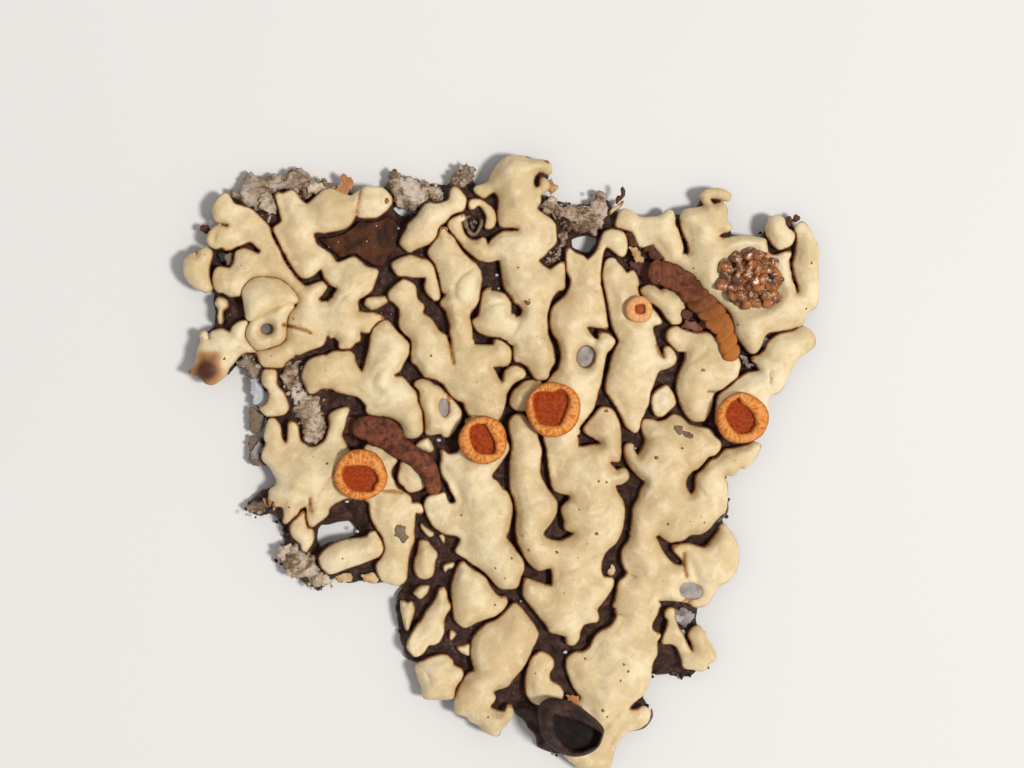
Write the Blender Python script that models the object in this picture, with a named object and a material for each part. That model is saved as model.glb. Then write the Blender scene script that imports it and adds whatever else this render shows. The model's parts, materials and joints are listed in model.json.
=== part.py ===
"""Dried fragment of a foliose tube lichen, lying flat, with what is stuck to it.

The thallus is a flat rosette fragment: one black lower sheet carries hollow, branching cream lobes.
Cups stand on some lobes. Liverwort shoots, a beaded tuft and scraps of bark cling to the edges.
Outlines are in millimetres in a drawing frame; the finished specimen is centred on the origin.
"""
import math

import bmesh
import bpy
from mathutils import Vector
from mathutils.geometry import delaunay_2d_cdt

# ---------------------------------------------------------------- driving dimensions (millimetres)
MM = 0.001
SHEET_TOP = 0.5            # thickness of the black lower sheet, which lies on z = 0
GAP = 0.3                  # clearance kept between a piece and what it rests on
LOBE_FLOOR = SHEET_TOP + GAP
LOBE_WALL = 1.75           # height of a lobe's upright edge above the ground
LOBE_RISE = 0.75           # how far the middle of a wide lobe swells above its edge
SWELL_LENGTH = 0.8         # distance from the edge over which the swelling grows
LATTICE = 1.4             # spacing of the points that carry the swelling
EDGE_MARGIN = 0.42         # smallest distance from such a point to the edge
SEAT = LOBE_WALL + 0.2     # underside of a cup or shoot that stands on a lobe
SEAT_MARGIN = 0.35         # flat ground kept around whatever stands on a lobe
CUP_SIDES = 18
SHOOT_SIDES = 8

# ---------------------------------------------------------------- finishes: colour, roughness
FINISHES = {
    "cortex": ((0.80, 0.66, 0.42), 0.55),
    "lower_surface": ((0.018, 0.012, 0.012), 0.30),
    "cup": ((0.72, 0.28, 0.07), 0.45),
    "old_cup": ((0.045, 0.025, 0.022), 0.40),
    "liverwort": ((0.16, 0.045, 0.027), 0.35),
    "dry_leaf": ((0.20, 0.05, 0.03), 0.45),
    "bark": ((0.25, 0.19, 0.14), 0.90),
}

# ---------------------------------------------------------------- the black lower sheet
SHEET_OUTLINE = [
    (-16.5, 15.6), (-15.6, 16.2), (-14.7, 16.9), (-13.4, 17.0), (-12.2, 17.3), (-11.3, 16.7),
    (-10.2, 16.6), (-9.2, 16.1), (-8.6, 16.0), (-7.8, 16.3), (-7.0, 16.4), (-6.4, 16.9), (-5.2, 16.7),
    (-4.0, 16.6), (-3.2, 16.5), (-2.4, 17.3), (-1.8, 17.1), (-1.3, 16.3), (-0.6, 16.7), (-0.2, 17.3),
    (0.4, 18.05), (1.3, 18.3), (2.2, 17.9), (2.9, 17.5), (2.8, 16.7), (2.6, 15.9), (3.4, 15.6),
    (4.4, 15.2), (5.4, 15.4), (6.3, 15.7), (6.8, 15.1), (7.6, 14.8), (8.6, 14.4), (9.6, 14.5),
    (10.2, 14.8), (11.0, 14.8), (11.9, 15.1), (12.2, 15.8), (12.9, 16.1), (13.6, 15.8), (13.3, 15.1),
    (13.5, 14.3), (14.2, 13.5), (15.5, 13.3), (16.1, 13.9), (16.4, 14.4), (17.0, 14.4), (18.1, 13.9),
    (18.6, 13.3), (18.9, 12.4), (18.9, 11.2), (18.9, 10.1), (18.5, 9.1), (18.1, 8.4), (18.5, 7.6),
    (18.6, 7.1), (18.1, 6.4), (17.5, 5.6), (16.8, 4.6), (16.0, 3.9), (15.9, 2.9), (15.8, 2.0),
    (15.4, 1.2), (15.2, 0.4), (14.8, -0.2), (14.1, -0.6), (13.4, -1.0), (13.4, -2.2), (13.5, -3.1),
    (13.3, -3.7), (13.8, -4.5), (14.1, -5.3), (14.0, -6.3), (13.5, -7.1), (12.7, -7.8), (12.2, -8.5),
    (11.8, -8.9), (11.8, -9.8), (12.2, -10.5), (12.7, -11.5), (12.6, -12.2), (12.0, -12.7),
    (11.4, -13.1), (10.6, -12.9), (9.6, -13.0), (9.1, -12.9), (8.7, -13.6), (8.7, -14.4),
    (9.0, -15.2), (8.7, -15.9), (7.7, -16.1), (7.0, -16.8), (6.6, -17.6), (6.3, -18.3), (5.6, -18.6),
    (4.6, -18.2), (3.6, -17.8), (2.5, -17.5), (2.1, -16.6), (1.5, -15.8), (0.8, -15.2), (0.4, -15.6),
    (-0.3, -16.2), (-0.9, -16.0), (-1.8, -15.3), (-2.5, -14.9), (-2.7, -14.3), (-3.5, -14.2),
    (-4.4, -14.0), (-4.7, -13.2), (-4.9, -12.3), (-5.6, -11.9), (-5.9, -11.1), (-6.1, -10.2),
    (-6.2, -9.2), (-6.2, -8.3), (-5.9, -7.6), (-6.7, -7.4), (-7.5, -7.4), (-8.3, -7.3), (-9.2, -7.4),
    (-9.8, -7.0), (-10.3, -7.3), (-10.9, -7.8), (-11.5, -7.6), (-12.1, -7.1), (-12.9, -6.6),
    (-13.3, -6.1), (-13.0, -5.2), (-13.1, -4.4), (-13.3, -3.7), (-13.9, -3.2), (-14.6, -3.3),
    (-15.1, -2.8), (-14.7, -2.1), (-13.9, -1.7), (-13.3, -1.3), (-13.6, -0.6), (-14.4, -0.1),
    (-14.6, 0.7), (-14.1, 1.5), (-14.0, 2.3), (-14.6, 3.1), (-14.8, 3.9), (-14.5, 4.7), (-15.1, 5.4),
    (-15.9, 5.8), (-16.4, 5.2), (-17.2, 4.8), (-18.2, 5.3), (-18.0, 6.4), (-17.8, 7.4), (-17.2, 8.2),
    (-17.2, 9.2), (-17.4, 10.2), (-18.2, 10.5), (-18.7, 11.2), (-18.7, 11.9), (-18.2, 12.2),
    (-17.6, 12.4), (-17.3, 13.3), (-16.8, 14.1), (-17.0, 15.0),
]
SHEET_HOLES = [
    [(4.3, 13.4), (4.4, 12.8), (5.1, 12.4), (5.6, 12.7), (5.8, 13.4), (5.1, 13.4)],
    [(-11.0, -4.0), (-11.1, -4.9), (-10.8, -5.3), (-10.1, -5.0), (-9.2, -4.7), (-8.7, -4.5),
     (-8.7, -3.9), (-9.5, -3.7), (-10.3, -3.8)],
    [(-17.0, 12.5), (-16.6, 12.5), (-16.4, 12.3), (-16.5, 11.9), (-16.9, 11.85)],
    [(-6.4, 15.15), (-5.9, 15.25), (-5.2, 15.15), (-4.9, 14.9), (-5.4, 14.75), (-6.0, 14.75)],
]

# ---------------------------------------------------------------- the lobes, each cut off at its forks
LOBES = {
    "lobe_far_left": [
        (-17.65, 12.7), (-17.3, 12.4), (-17.4, 11.9), (-17.5, 11.4), (-17.45, 10.9), (-17.35, 10.3),
        (-17.6, 10.1), (-18.35, 10.45), (-18.9, 11.1), (-19.0, 11.5), (-18.95, 11.9), (-18.75, 12.15),
        (-18.4, 12.4), (-18.2, 12.25), (-18.0, 12.55)],
    "lobe_left_fork": [
        (-16.4, 15.9), (-16.2, 15.65), (-15.9, 15.35), (-15.4, 15.2), (-14.9, 15.0), (-14.5, 14.65),
        (-14.1, 14.25), (-13.8, 13.85), (-13.6, 13.3), (-13.35, 12.8), (-13.1, 12.3), (-12.9, 11.85),
        (-12.6, 11.4), (-12.3, 10.95), (-11.95, 10.6), (-11.65, 10.4), (-11.0, 10.6), (-10.65, 10.7),
        (-10.4, 10.45), (-10.6, 10.0), (-10.9, 9.7), (-10.75, 9.5), (-10.35, 9.45), (-10.25, 8.8),
        (-10.3, 8.1), (-10.4, 7.5), (-10.7, 6.9), (-11.2, 6.7), (-11.7, 6.5), (-12.1, 6.35),
        (-12.4, 6.5), (-12.75, 6.9), (-12.8, 7.4), (-12.75, 7.9), (-12.7, 8.4), (-12.5, 8.9),
        (-12.2, 9.25), (-12.1, 9.7), (-12.4, 10.2), (-12.9, 10.7), (-13.5, 10.95), (-14.4, 11.0),
        (-15.0, 10.8), (-15.4, 10.3), (-15.5, 9.95), (-15.9, 9.85), (-16.2, 9.85), (-16.6, 10.05),
        (-16.9, 10.1), (-17.1, 10.4), (-17.2, 10.9), (-17.05, 11.4), (-16.8, 11.55), (-16.25, 11.5),
        (-16.1, 11.6), (-15.95, 11.9), (-15.85, 12.5), (-15.6, 12.65), (-15.2, 12.65), (-14.6, 12.4),
        (-14.35, 12.45), (-14.45, 12.7), (-14.9, 13.05), (-15.2, 13.05), (-15.8, 12.75),
        (-16.4, 12.6), (-16.65, 12.75), (-17.0, 12.7), (-17.25, 12.8), (-17.45, 13.0),
        (-17.5, 13.3), (-17.35, 13.7), (-16.9, 14.05), (-16.3, 14.05), (-16.9, 14.3), (-17.15, 14.5),
        (-17.2, 14.9), (-17.15, 15.3), (-16.7, 15.85)],
    "lobe_left_low": [
        (-12.55, 6.2), (-12.9, 5.85), (-13.1, 5.6), (-13.55, 5.6), (-14.0, 5.6), (-14.4, 5.9),
        (-14.6, 6.45), (-15.1, 6.5), (-15.35, 6.45), (-15.7, 6.2), (-16.05, 5.8), (-16.3, 5.5),
        (-16.5, 5.1), (-16.8, 4.85), (-17.2, 4.6), (-17.6, 4.65), (-17.9, 4.95), (-18.6, 5.25),
        (-18.4, 5.5), (-18.15, 6.0), (-18.1, 6.5), (-17.9, 7.1), (-17.95, 7.5), (-17.7, 7.7),
        (-17.45, 7.3), (-17.3, 7.6), (-16.75, 7.85), (-16.2, 7.65), (-16.05, 7.95), (-15.8, 8.2),
        (-15.45, 8.35), (-15.1, 8.3), (-15.2, 7.8), (-15.25, 7.4), (-15.0, 6.95), (-14.5, 6.6),
        (-13.9, 6.65), (-13.4, 6.8), (-13.0, 6.9), (-12.75, 6.6)],
    "lobe_left_hood": [
        (-15.25, 10.1), (-14.8, 10.6), (-14.4, 10.75), (-13.5, 10.7), (-13.0, 10.45), (-12.6, 10.1),
        (-12.35, 9.8), (-12.3, 9.55), (-12.9, 9.45), (-13.3, 9.3), (-13.8, 9.05), (-14.1, 8.8),
        (-14.6, 8.55), (-15.0, 8.55), (-15.1, 9.0), (-15.15, 9.5)],
    "lobe_left_pierced": [
        (-12.5, 9.25), (-12.8, 8.9), (-12.95, 8.5), (-13.0, 8.1), (-13.0, 7.7), (-13.1, 7.3),
        (-13.5, 7.05), (-14.4, 6.8), (-14.8, 7.1), (-15.0, 7.5), (-14.9, 7.95), (-14.65, 8.35),
        (-14.2, 8.65), (-13.6, 8.95), (-13.0, 9.2)],
    "lobe_upper_left": [
        (-13.45, 15.95), (-13.0, 15.95), (-12.5, 16.15), (-12.2, 15.9), (-11.8, 15.45),
        (-11.5, 15.35), (-10.9, 15.9), (-10.6, 16.15), (-10.2, 16.25), (-9.6, 16.0), (-9.2, 15.85),
        (-8.9, 15.8), (-8.3, 16.2), (-8.0, 16.35), (-7.2, 16.3), (-6.9, 16.15), (-6.6, 15.85),
        (-6.5, 15.5), (-6.6, 15.25), (-6.85, 14.95), (-7.2, 14.7), (-7.6, 14.55), (-8.4, 14.55),
        (-8.65, 14.65), (-9.0, 14.15), (-9.3, 13.95), (-9.7, 13.8), (-10.5, 13.65), (-10.9, 13.7),
        (-11.2, 13.6), (-11.15, 13.3), (-11.0, 12.95), (-10.7, 12.7), (-10.15, 12.3), (-9.95, 12.0),
        (-9.7, 11.85), (-9.0, 12.1), (-8.75, 12.15), (-8.3, 11.8), (-8.0, 11.6), (-7.4, 11.4),
        (-7.4, 11.1), (-7.6, 10.4), (-7.8, 10.1), (-8.4, 9.7), (-8.55, 9.45), (-8.5, 9.1),
        (-8.4, 8.9), (-7.6, 8.8), (-7.0, 8.5), (-7.3, 8.3), (-7.7, 7.9), (-7.85, 7.65),
        (-8.4, 7.7), (-8.4, 7.2), (-8.7, 7.05), (-9.0, 6.75), (-9.6, 6.68), (-9.65, 7.1),
        (-9.9, 7.45), (-9.95, 8.1), (-9.9, 8.8), (-10.0, 9.5), (-9.95, 9.9), (-9.75, 10.3),
        (-10.3, 10.6), (-10.5, 10.85), (-10.75, 11.45), (-11.2, 11.1), (-11.5, 10.95),
        (-11.8, 10.95), (-12.1, 11.15), (-12.5, 11.65), (-12.7, 11.95), (-12.95, 12.4),
        (-13.15, 12.85), (-13.4, 13.3), (-13.6, 13.85), (-13.1, 14.3), (-13.2, 14.9), (-13.3, 15.3)],
    "lobe_bent": [
        (-6.5, 11.7), (-6.1, 12.05), (-5.4, 12.25), (-4.8, 12.05), (-4.35, 11.95), (-4.05, 11.6),
        (-3.95, 11.3), (-3.85, 10.9), (-3.7, 10.4), (-3.65, 10.0), (-3.7, 9.65), (-3.95, 9.6),
        (-4.35, 10.0), (-4.5, 10.4), (-4.45, 10.95), (-5.2, 11.0), (-5.7, 11.05), (-6.1, 11.1)],
    "lobe_shield": [
        (-4.3, 15.4), (-3.6, 15.4), (-3.1, 15.6), (-2.95, 16.1), (-2.7, 16.35), (-2.35, 16.1),
        (-2.05, 15.65), (-2.1, 15.2), (-2.3, 14.95), (-2.6, 14.85), (-2.95, 14.7), (-3.3, 14.3),
        (-3.7, 13.95), (-3.85, 13.4), (-4.3, 13.0), (-5.1, 12.65), (-5.5, 12.5), (-5.95, 12.9),
        (-5.95, 13.2), (-5.65, 13.8), (-5.55, 14.1), (-5.0, 14.6), (-4.8, 14.9), (-4.6, 15.2)],
    "lobe_ring": [
        (-1.9, 15.5), (-1.6, 15.65), (-1.2, 15.6), (-0.9, 15.4), (-0.6, 15.2), (-0.35, 14.9),
        (-0.25, 14.55), (-0.3, 14.2), (-0.5, 13.95), (-0.85, 13.95), (-0.8, 14.6), (-1.1, 15.2),
        (-1.35, 15.3), (-1.6, 15.1), (-1.85, 15.1)],
    "lobe_long": [
        (-3.45, 14.0), (-3.15, 13.6), (-2.9, 13.4), (-2.6, 12.95), (-2.25, 12.45), (-1.8, 12.0),
        (-1.5, 11.75), (-1.25, 11.4), (-1.15, 11.0), (-1.2, 10.4), (-1.3, 9.6), (-1.5, 9.25),
        (-1.75, 8.95), (-1.85, 8.6), (-1.75, 8.0), (-1.7, 7.4), (-1.8, 7.25), (-2.3, 7.05),
        (-2.85, 6.9), (-2.95, 7.2), (-3.0, 7.7), (-3.0, 8.1), (-3.1, 8.5), (-3.2, 8.9),
        (-3.55, 9.4), (-3.25, 9.9), (-3.5, 10.2), (-3.6, 10.9), (-3.75, 11.4), (-3.9, 11.8),
        (-4.2, 12.2), (-4.3, 12.5), (-4.1, 12.85), (-3.75, 13.3), (-3.6, 13.7)],
    "lobe_centre": [
        (-5.7, 10.8), (-5.1, 10.4), (-5.0, 9.7), (-4.6, 9.25), (-4.65, 8.8), (-4.1, 8.4),
        (-3.75, 7.8), (-3.5, 7.6), (-3.25, 7.45), (-3.1, 7.1), (-3.0, 6.7), (-2.75, 6.65),
        (-2.2, 6.8), (-1.7, 6.95), (-1.3, 6.9), (-0.8, 6.9), (-0.4, 6.9), (-0.35, 7.2),
        (0.0, 7.15), (0.35, 6.95), (0.55, 6.7), (0.65, 6.4), (0.6, 6.0), (0.45, 5.7), (0.3, 5.65),
        (-0.4, 5.6), (-0.3, 5.3), (-0.1, 4.85), (0.15, 4.7), (0.25, 5.1), (0.35, 5.4), (0.7, 5.6),
        (1.0, 5.6), (1.4, 5.4), (1.5, 5.1), (1.4, 4.95), (0.8, 4.6), (0.4, 4.05), (0.3, 3.5),
        (0.15, 2.9), (-0.1, 2.5), (-0.9, 2.4), (-1.7, 2.6), (-2.0, 3.0), (-2.2, 3.45), (-2.5, 3.6),
        (-2.8, 3.8), (-3.1, 4.15), (-3.5, 4.65), (-4.2, 4.95), (-4.5, 5.05), (-4.7, 5.3),
        (-5.0, 5.7), (-5.3, 6.0), (-5.3, 6.5), (-5.3, 7.1), (-5.65, 7.55), (-6.0, 7.95),
        (-6.05, 8.3), (-6.0, 8.7), (-6.05, 9.1), (-6.3, 9.4), (-6.6, 9.6), (-6.7, 9.85),
        (-6.6, 10.15), (-6.0, 10.7)],
    "lobe_wing": [
        (-7.0, 8.35), (-6.7, 8.3), (-6.4, 7.95), (-6.1, 7.6), (-5.8, 7.3), (-5.5, 7.0), (-5.5, 6.4),
        (-5.6, 6.15), (-5.75, 5.9), (-6.1, 5.3), (-6.3, 5.1), (-6.0, 5.0), (-5.75, 4.85),
        (-5.3, 4.3), (-5.1, 4.1), (-5.0, 3.8), (-5.0, 3.5), (-4.9, 3.3), (-4.75, 3.0),
        (-4.7, 2.6), (-4.65, 2.0), (-4.7, 1.7), (-5.0, 1.4), (-5.4, 1.35), (-5.75, 1.5),
        (-5.9, 2.0), (-6.1, 2.3), (-6.5, 2.55), (-7.0, 2.65), (-7.6, 2.65), (-8.0, 2.9),
        (-8.05, 3.3), (-8.5, 3.8), (-9.3, 4.0), (-9.8, 4.15), (-10.1, 4.3), (-10.7, 4.3),
        (-11.0, 4.1), (-11.3, 4.0), (-11.5, 4.1), (-11.7, 4.6), (-11.85, 5.0), (-11.75, 5.5),
        (-11.4, 6.0), (-10.8, 6.25), (-10.4, 6.3), (-10.0, 6.5), (-9.2, 6.55), (-8.9, 6.4),
        (-8.75, 6.2), (-8.7, 5.9), (-8.5, 5.5), (-8.3, 5.3), (-8.15, 5.5), (-8.0, 6.0),
        (-7.8, 6.8), (-7.75, 7.4), (-7.6, 7.9), (-7.3, 8.2)],
    "lobe_teardrop": [
        (-5.15, 4.55), (-4.8, 4.8), (-4.3, 4.75), (-4.0, 4.55), (-3.6, 4.35), (-3.3, 4.0),
        (-3.0, 3.7), (-2.75, 3.45), (-2.5, 3.2), (-2.35, 2.6), (-2.5, 2.2), (-2.9, 1.6),
        (-3.1, 1.4), (-3.4, 1.45), (-3.6, 1.6), (-4.2, 1.55), (-4.45, 1.65), (-4.5, 2.2),
        (-4.55, 2.8), (-4.7, 3.2), (-4.8, 3.6), (-4.85, 4.1), (-5.0, 4.35)],
    "lobe_top_centre": [
        (0.5, 18.15), (1.2, 18.25), (1.8, 18.0), (2.6, 17.95), (3.0, 17.7), (3.0, 17.2),
        (2.6, 17.3), (2.3, 17.3), (2.05, 17.0), (2.0, 16.6), (2.15, 16.35), (2.4, 16.45),
        (2.45, 16.85), (2.65, 16.85), (2.9, 16.6), (2.9, 16.3), (2.6, 16.05), (2.35, 15.9),
        (2.4, 15.5), (2.2, 15.1), (2.4, 14.85), (2.8, 14.6), (3.1, 14.35), (3.3, 14.05),
        (3.35, 13.5), (3.3, 13.0), (2.9, 12.6), (2.7, 12.3), (2.3, 11.95), (2.6, 11.7),
        (2.9, 11.45), (3.3, 11.6), (3.8, 11.85), (3.85, 11.3), (3.85, 10.7), (3.8, 10.3),
        (3.45, 10.15), (3.1, 9.7), (2.9, 9.2), (2.8, 8.6), (2.8, 8.1), (2.85, 7.5), (3.1, 6.9),
        (3.25, 6.1), (3.2, 5.8), (2.95, 5.4), (2.8, 4.95), (2.4, 4.8), (2.1, 4.95), (1.9, 5.2),
        (1.6, 5.65), (1.2, 5.9), (0.85, 6.05), (0.85, 6.5), (0.85, 7.1), (0.9, 7.8), (0.9, 8.5),
        (1.25, 8.65), (1.35, 9.0), (1.15, 9.3), (0.9, 9.45), (0.7, 9.75), (0.45, 10.1),
        (0.25, 10.5), (0.1, 11.4), (-0.05, 12.0), (-0.6, 11.9), (-0.9, 11.9), (-1.3, 12.05),
        (-1.6, 12.25), (-2.0, 12.6), (-2.3, 12.95), (-2.6, 13.35), (-2.9, 13.7), (-3.1, 14.0),
        (-3.05, 14.3), (-2.8, 14.5), (-2.5, 14.65), (-2.15, 14.7), (-2.05, 14.45), (-2.35, 14.3),
        (-2.25, 13.8), (-2.1, 13.5), (-1.85, 13.25), (-1.5, 13.15), (-0.95, 13.3),
        (-0.75, 12.95), (-0.5, 13.2), (0.0, 13.6), (0.4, 13.75), (1.05, 13.83), (0.3, 13.95),
        (0.0, 14.05), (-0.1, 14.35), (-0.15, 14.8), (-0.1, 15.1), (-0.05, 15.5), (-0.15, 15.9),
        (-0.4, 16.1), (-0.75, 15.9), (-0.95, 15.75), (-1.2, 15.85), (-1.45, 16.05), (-1.5, 16.3),
        (-1.0, 16.5), (-0.7, 16.65), (-0.5, 17.0), (-0.3, 17.4), (0.0, 17.8)],
    "lobe_top_wing": [
        (-1.65, 8.35), (-1.55, 8.05), (-1.35, 7.75), (-1.0, 7.55), (-0.6, 7.45), (-0.1, 7.4),
        (0.35, 7.2), (0.6, 7.1), (0.6, 7.8), (0.6, 8.5), (0.65, 9.2), (0.5, 9.65), (0.2, 9.95),
        (-0.2, 10.1), (-0.55, 10.15), (-0.6, 10.35), (-1.0, 10.1), (-1.1, 9.7), (-1.2, 9.0),
        (-1.3, 8.6)],
    "lobe_centre_right": [
        (4.05, 12.7), (4.5, 12.4), (5.0, 12.2), (5.25, 12.0), (5.7, 12.4), (5.9, 12.8),
        (6.15, 13.5), (6.6, 13.8), (7.0, 13.75), (7.3, 13.65), (7.55, 13.3), (7.6, 12.7),
        (7.45, 12.3), (7.2, 12.25), (6.9, 12.45), (6.5, 12.75), (6.3, 12.75), (6.1, 12.2),
        (6.0, 11.5), (6.0, 10.6), (6.1, 10.1), (6.2, 9.5), (6.3, 8.9), (6.4, 8.3), (6.35, 7.85),
        (5.7, 8.0), (5.2, 8.0), (5.3, 7.7), (5.65, 7.3), (5.9, 7.3), (5.95, 7.7), (6.3, 7.65),
        (6.65, 7.4), (6.85, 7.1), (6.65, 6.75), (6.4, 6.45), (6.25, 5.9), (6.15, 5.3), (6.0, 4.6),
        (5.85, 4.1), (5.7, 3.5), (5.5, 2.9), (5.2, 2.5), (4.85, 2.1), (4.55, 1.85), (3.9, 2.0),
        (3.1, 2.1), (2.4, 2.3), (2.3, 3.2), (2.5, 4.1), (2.85, 4.6), (3.2, 5.1), (3.5, 5.45),
        (3.65, 6.0), (3.65, 6.5), (3.5, 7.1), (3.2, 7.6), (3.05, 8.2), (3.1, 8.9), (3.4, 9.4),
        (3.9, 9.8), (4.15, 10.2), (4.25, 10.7), (4.1, 11.2), (4.0, 11.5), (4.0, 12.1)],
    "lobe_cup_side": [
        (0.65, 3.3), (0.65, 3.7), (0.8, 4.1), (1.1, 4.4), (1.5, 4.7), (1.9, 4.75), (2.3, 4.6),
        (2.25, 4.2), (2.15, 3.6), (2.1, 3.1), (1.5, 3.0), (1.0, 3.0)],
    "lobe_arc": [
        (0.6, 2.4), (0.9, 2.7), (1.35, 2.7), (1.75, 2.3), (2.1, 2.05), (2.25, 1.3), (2.45, 0.6),
        (2.4, 0.0), (2.35, -0.7), (2.55, -1.25), (2.9, -1.85), (3.3, -2.35), (3.4, -2.75),
        (3.3, -3.3), (3.0, -3.8), (2.6, -4.3), (2.65, -4.6), (3.0, -4.8), (3.6, -4.85),
        (4.1, -4.65), (4.4, -4.4), (4.2, -4.25), (3.9, -4.1), (3.85, -3.6), (3.7, -2.95),
        (3.9, -2.6), (4.2, -2.35), (4.1, -2.05), (3.6, -1.95), (3.2, -1.75), (3.05, -1.2),
        (2.95, -0.6), (2.85, 0.1), (2.8, 0.7), (2.65, 1.3), (2.6, 1.9), (3.0, 1.8), (3.8, 1.7),
        (4.5, 1.5), (4.65, 1.1), (4.7, 0.8), (5.3, 0.85), (6.0, 1.0), (5.6, 1.35), (5.2, 1.6),
        (5.0, 1.9), (5.4, 2.5), (5.7, 2.8), (6.0, 3.1), (6.4, 3.15), (6.75, 2.95), (6.95, 2.6),
        (7.1, 2.2), (7.2, 1.7), (7.2, 0.6), (7.1, -0.05), (6.6, -0.1), (6.8, -0.45), (7.0, -0.6),
        (7.4, -0.5), (7.65, -0.75), (7.65, -1.1), (7.3, -1.4), (6.9, -1.5), (7.0, -1.9),
        (7.25, -2.3), (7.4, -2.8), (7.4, -3.5), (7.3, -4.1), (7.1, -4.6), (6.9, -4.95),
        (6.5, -5.3), (6.2, -5.7), (6.05, -6.2), (6.05, -6.7), (6.2, -7.0), (6.75, -7.1),
        (6.7, -7.6), (6.4, -8.1), (6.1, -8.55), (5.8, -8.95), (5.9, -9.6), (5.4, -9.7),
        (5.0, -9.85), (4.75, -10.3), (4.7, -10.7), (4.4, -11.05), (4.0, -10.95), (3.9, -10.55),
        (3.4, -10.4), (3.0, -10.3), (2.8, -9.9), (2.3, -9.3), (2.0, -8.9), (1.6, -8.4),
        (1.4, -8.0), (1.45, -7.3), (1.6, -7.1), (2.2, -7.3), (2.8, -7.5), (3.15, -7.4),
        (3.05, -6.5), (2.4, -6.6), (2.0, -6.4), (1.7, -6.1), (1.3, -5.4), (1.05, -4.8),
        (0.97, -4.0), (1.0, -3.2), (0.9, -2.4), (0.65, -1.8), (0.6, -1.1), (0.6, -0.3),
        (0.7, 0.4), (0.75, 1.0), (0.65, 1.5), (0.55, 2.0)],
    "lobe_right_of_centre": [
        (6.8, 12.1), (6.4, 12.0), (6.2, 11.3), (6.2, 10.7), (6.35, 10.0), (6.5, 9.3), (6.6, 8.6),
        (6.75, 8.0), (7.0, 7.5), (7.15, 7.1), (6.95, 6.7), (6.7, 6.1), (6.5, 5.3), (6.35, 4.6),
        (6.4, 4.1), (6.7, 3.6), (7.0, 3.15), (7.3, 2.6), (7.6, 2.0), (8.1, 1.65), (8.3, 1.85),
        (8.45, 2.4), (8.7, 3.0), (8.9, 3.4), (9.0, 4.1), (9.2, 4.6), (9.5, 5.3), (10.0, 5.5),
        (10.4, 5.75), (10.55, 6.2), (10.3, 6.65), (9.9, 6.8), (9.75, 6.3), (9.4, 6.8),
        (9.3, 7.3), (9.15, 8.0), (9.65, 8.25), (9.4, 8.75), (9.05, 9.1), (8.8, 9.4),
        (8.4, 9.75), (8.2, 10.3), (8.3, 10.7), (8.0, 11.35), (7.6, 11.2), (7.25, 11.6),
        (7.0, 11.9)],
    "lobe_small_cup": [
        (8.45, 10.15), (8.8, 10.45), (9.2, 10.45), (9.6, 10.2), (10.0, 10.25), (10.7, 9.95),
        (11.0, 9.7), (11.1, 9.2), (10.9, 8.9), (10.85, 8.3), (10.7, 8.2), (10.3, 8.2),
        (9.9, 8.65), (9.6, 9.1), (9.2, 9.4), (8.8, 9.65)],
    "lobe_islet_right": [
        (9.95, 4.45), (10.25, 4.1), (10.45, 3.7), (10.5, 3.4), (10.3, 3.15), (9.9, 2.8),
        (9.6, 2.65), (9.3, 2.75), (9.15, 3.1), (9.1, 3.6), (9.25, 4.0), (9.6, 4.3)],
    "lobe_right_mid": [
        (10.5, 8.0), (10.1, 7.75), (10.0, 7.3), (10.3, 6.9), (10.65, 6.55), (11.1, 6.5),
        (11.1, 6.0), (10.9, 5.5), (10.7, 5.0), (10.6, 4.4), (10.7, 3.7), (10.9, 3.2),
        (11.1, 2.8), (11.5, 2.4), (12.1, 2.35), (12.3, 2.5), (12.55, 2.9), (12.7, 3.4),
        (12.85, 4.05), (13.3, 4.3), (13.7, 4.6), (14.1, 4.9), (14.3, 5.3), (14.35, 5.9),
        (13.9, 6.6), (13.4, 7.0), (12.9, 7.35), (12.4, 7.65), (11.9, 7.6), (11.4, 7.65),
        (10.9, 7.85)],
    "lobe_top_right_a": [
        (7.4, 15.0), (8.1, 14.75), (8.4, 14.55), (9.2, 14.55), (9.6, 14.6), (10.0, 14.95),
        (10.3, 14.9), (10.45, 14.5), (10.5, 14.1), (10.7, 13.7), (10.8, 13.3), (10.95, 12.8),
        (10.9, 12.3), (10.9, 11.7), (10.95, 11.45), (10.4, 11.75), (9.85, 11.85), (9.8, 12.1),
        (9.3, 12.75), (9.1, 12.95), (8.4, 12.8), (8.0, 13.5), (7.8, 13.75), (7.2, 13.95),
        (6.95, 14.05), (7.0, 14.4), (7.2, 14.7)],
    "lobe_top_right_b": [
        (11.2, 12.2), (11.35, 12.5), (11.2, 13.2), (11.0, 13.6), (10.85, 14.2), (10.95, 14.8),
        (11.3, 15.0), (12.1, 15.15), (12.3, 15.3), (12.05, 15.8), (12.2, 16.1), (12.6, 16.2),
        (13.1, 16.25), (13.5, 16.15), (13.8, 15.9), (13.7, 15.6), (13.2, 15.68), (12.6, 15.7),
        (12.8, 15.35), (13.3, 15.4), (13.5, 15.25), (13.6, 14.9), (13.55, 14.5), (13.85, 13.95),
        (13.3, 13.6), (13.15, 13.4), (13.6, 13.3), (14.5, 13.4), (15.5, 13.3), (15.9, 13.2),
        (16.0, 12.9), (16.1, 12.4), (16.5, 12.3), (17.1, 12.5), (17.45, 12.45), (17.3, 11.9),
        (17.4, 11.3), (17.6, 10.7), (17.8, 10.1), (17.9, 10.5), (17.7, 10.9), (17.6, 11.7),
        (17.7, 12.4), (17.8, 13.2), (17.75, 13.9), (18.0, 14.2), (18.3, 14.15), (18.8, 13.3),
        (19.0, 12.9), (19.1, 12.4), (19.05, 11.4), (19.15, 10.1), (18.9, 9.2), (18.6, 9.0),
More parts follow.
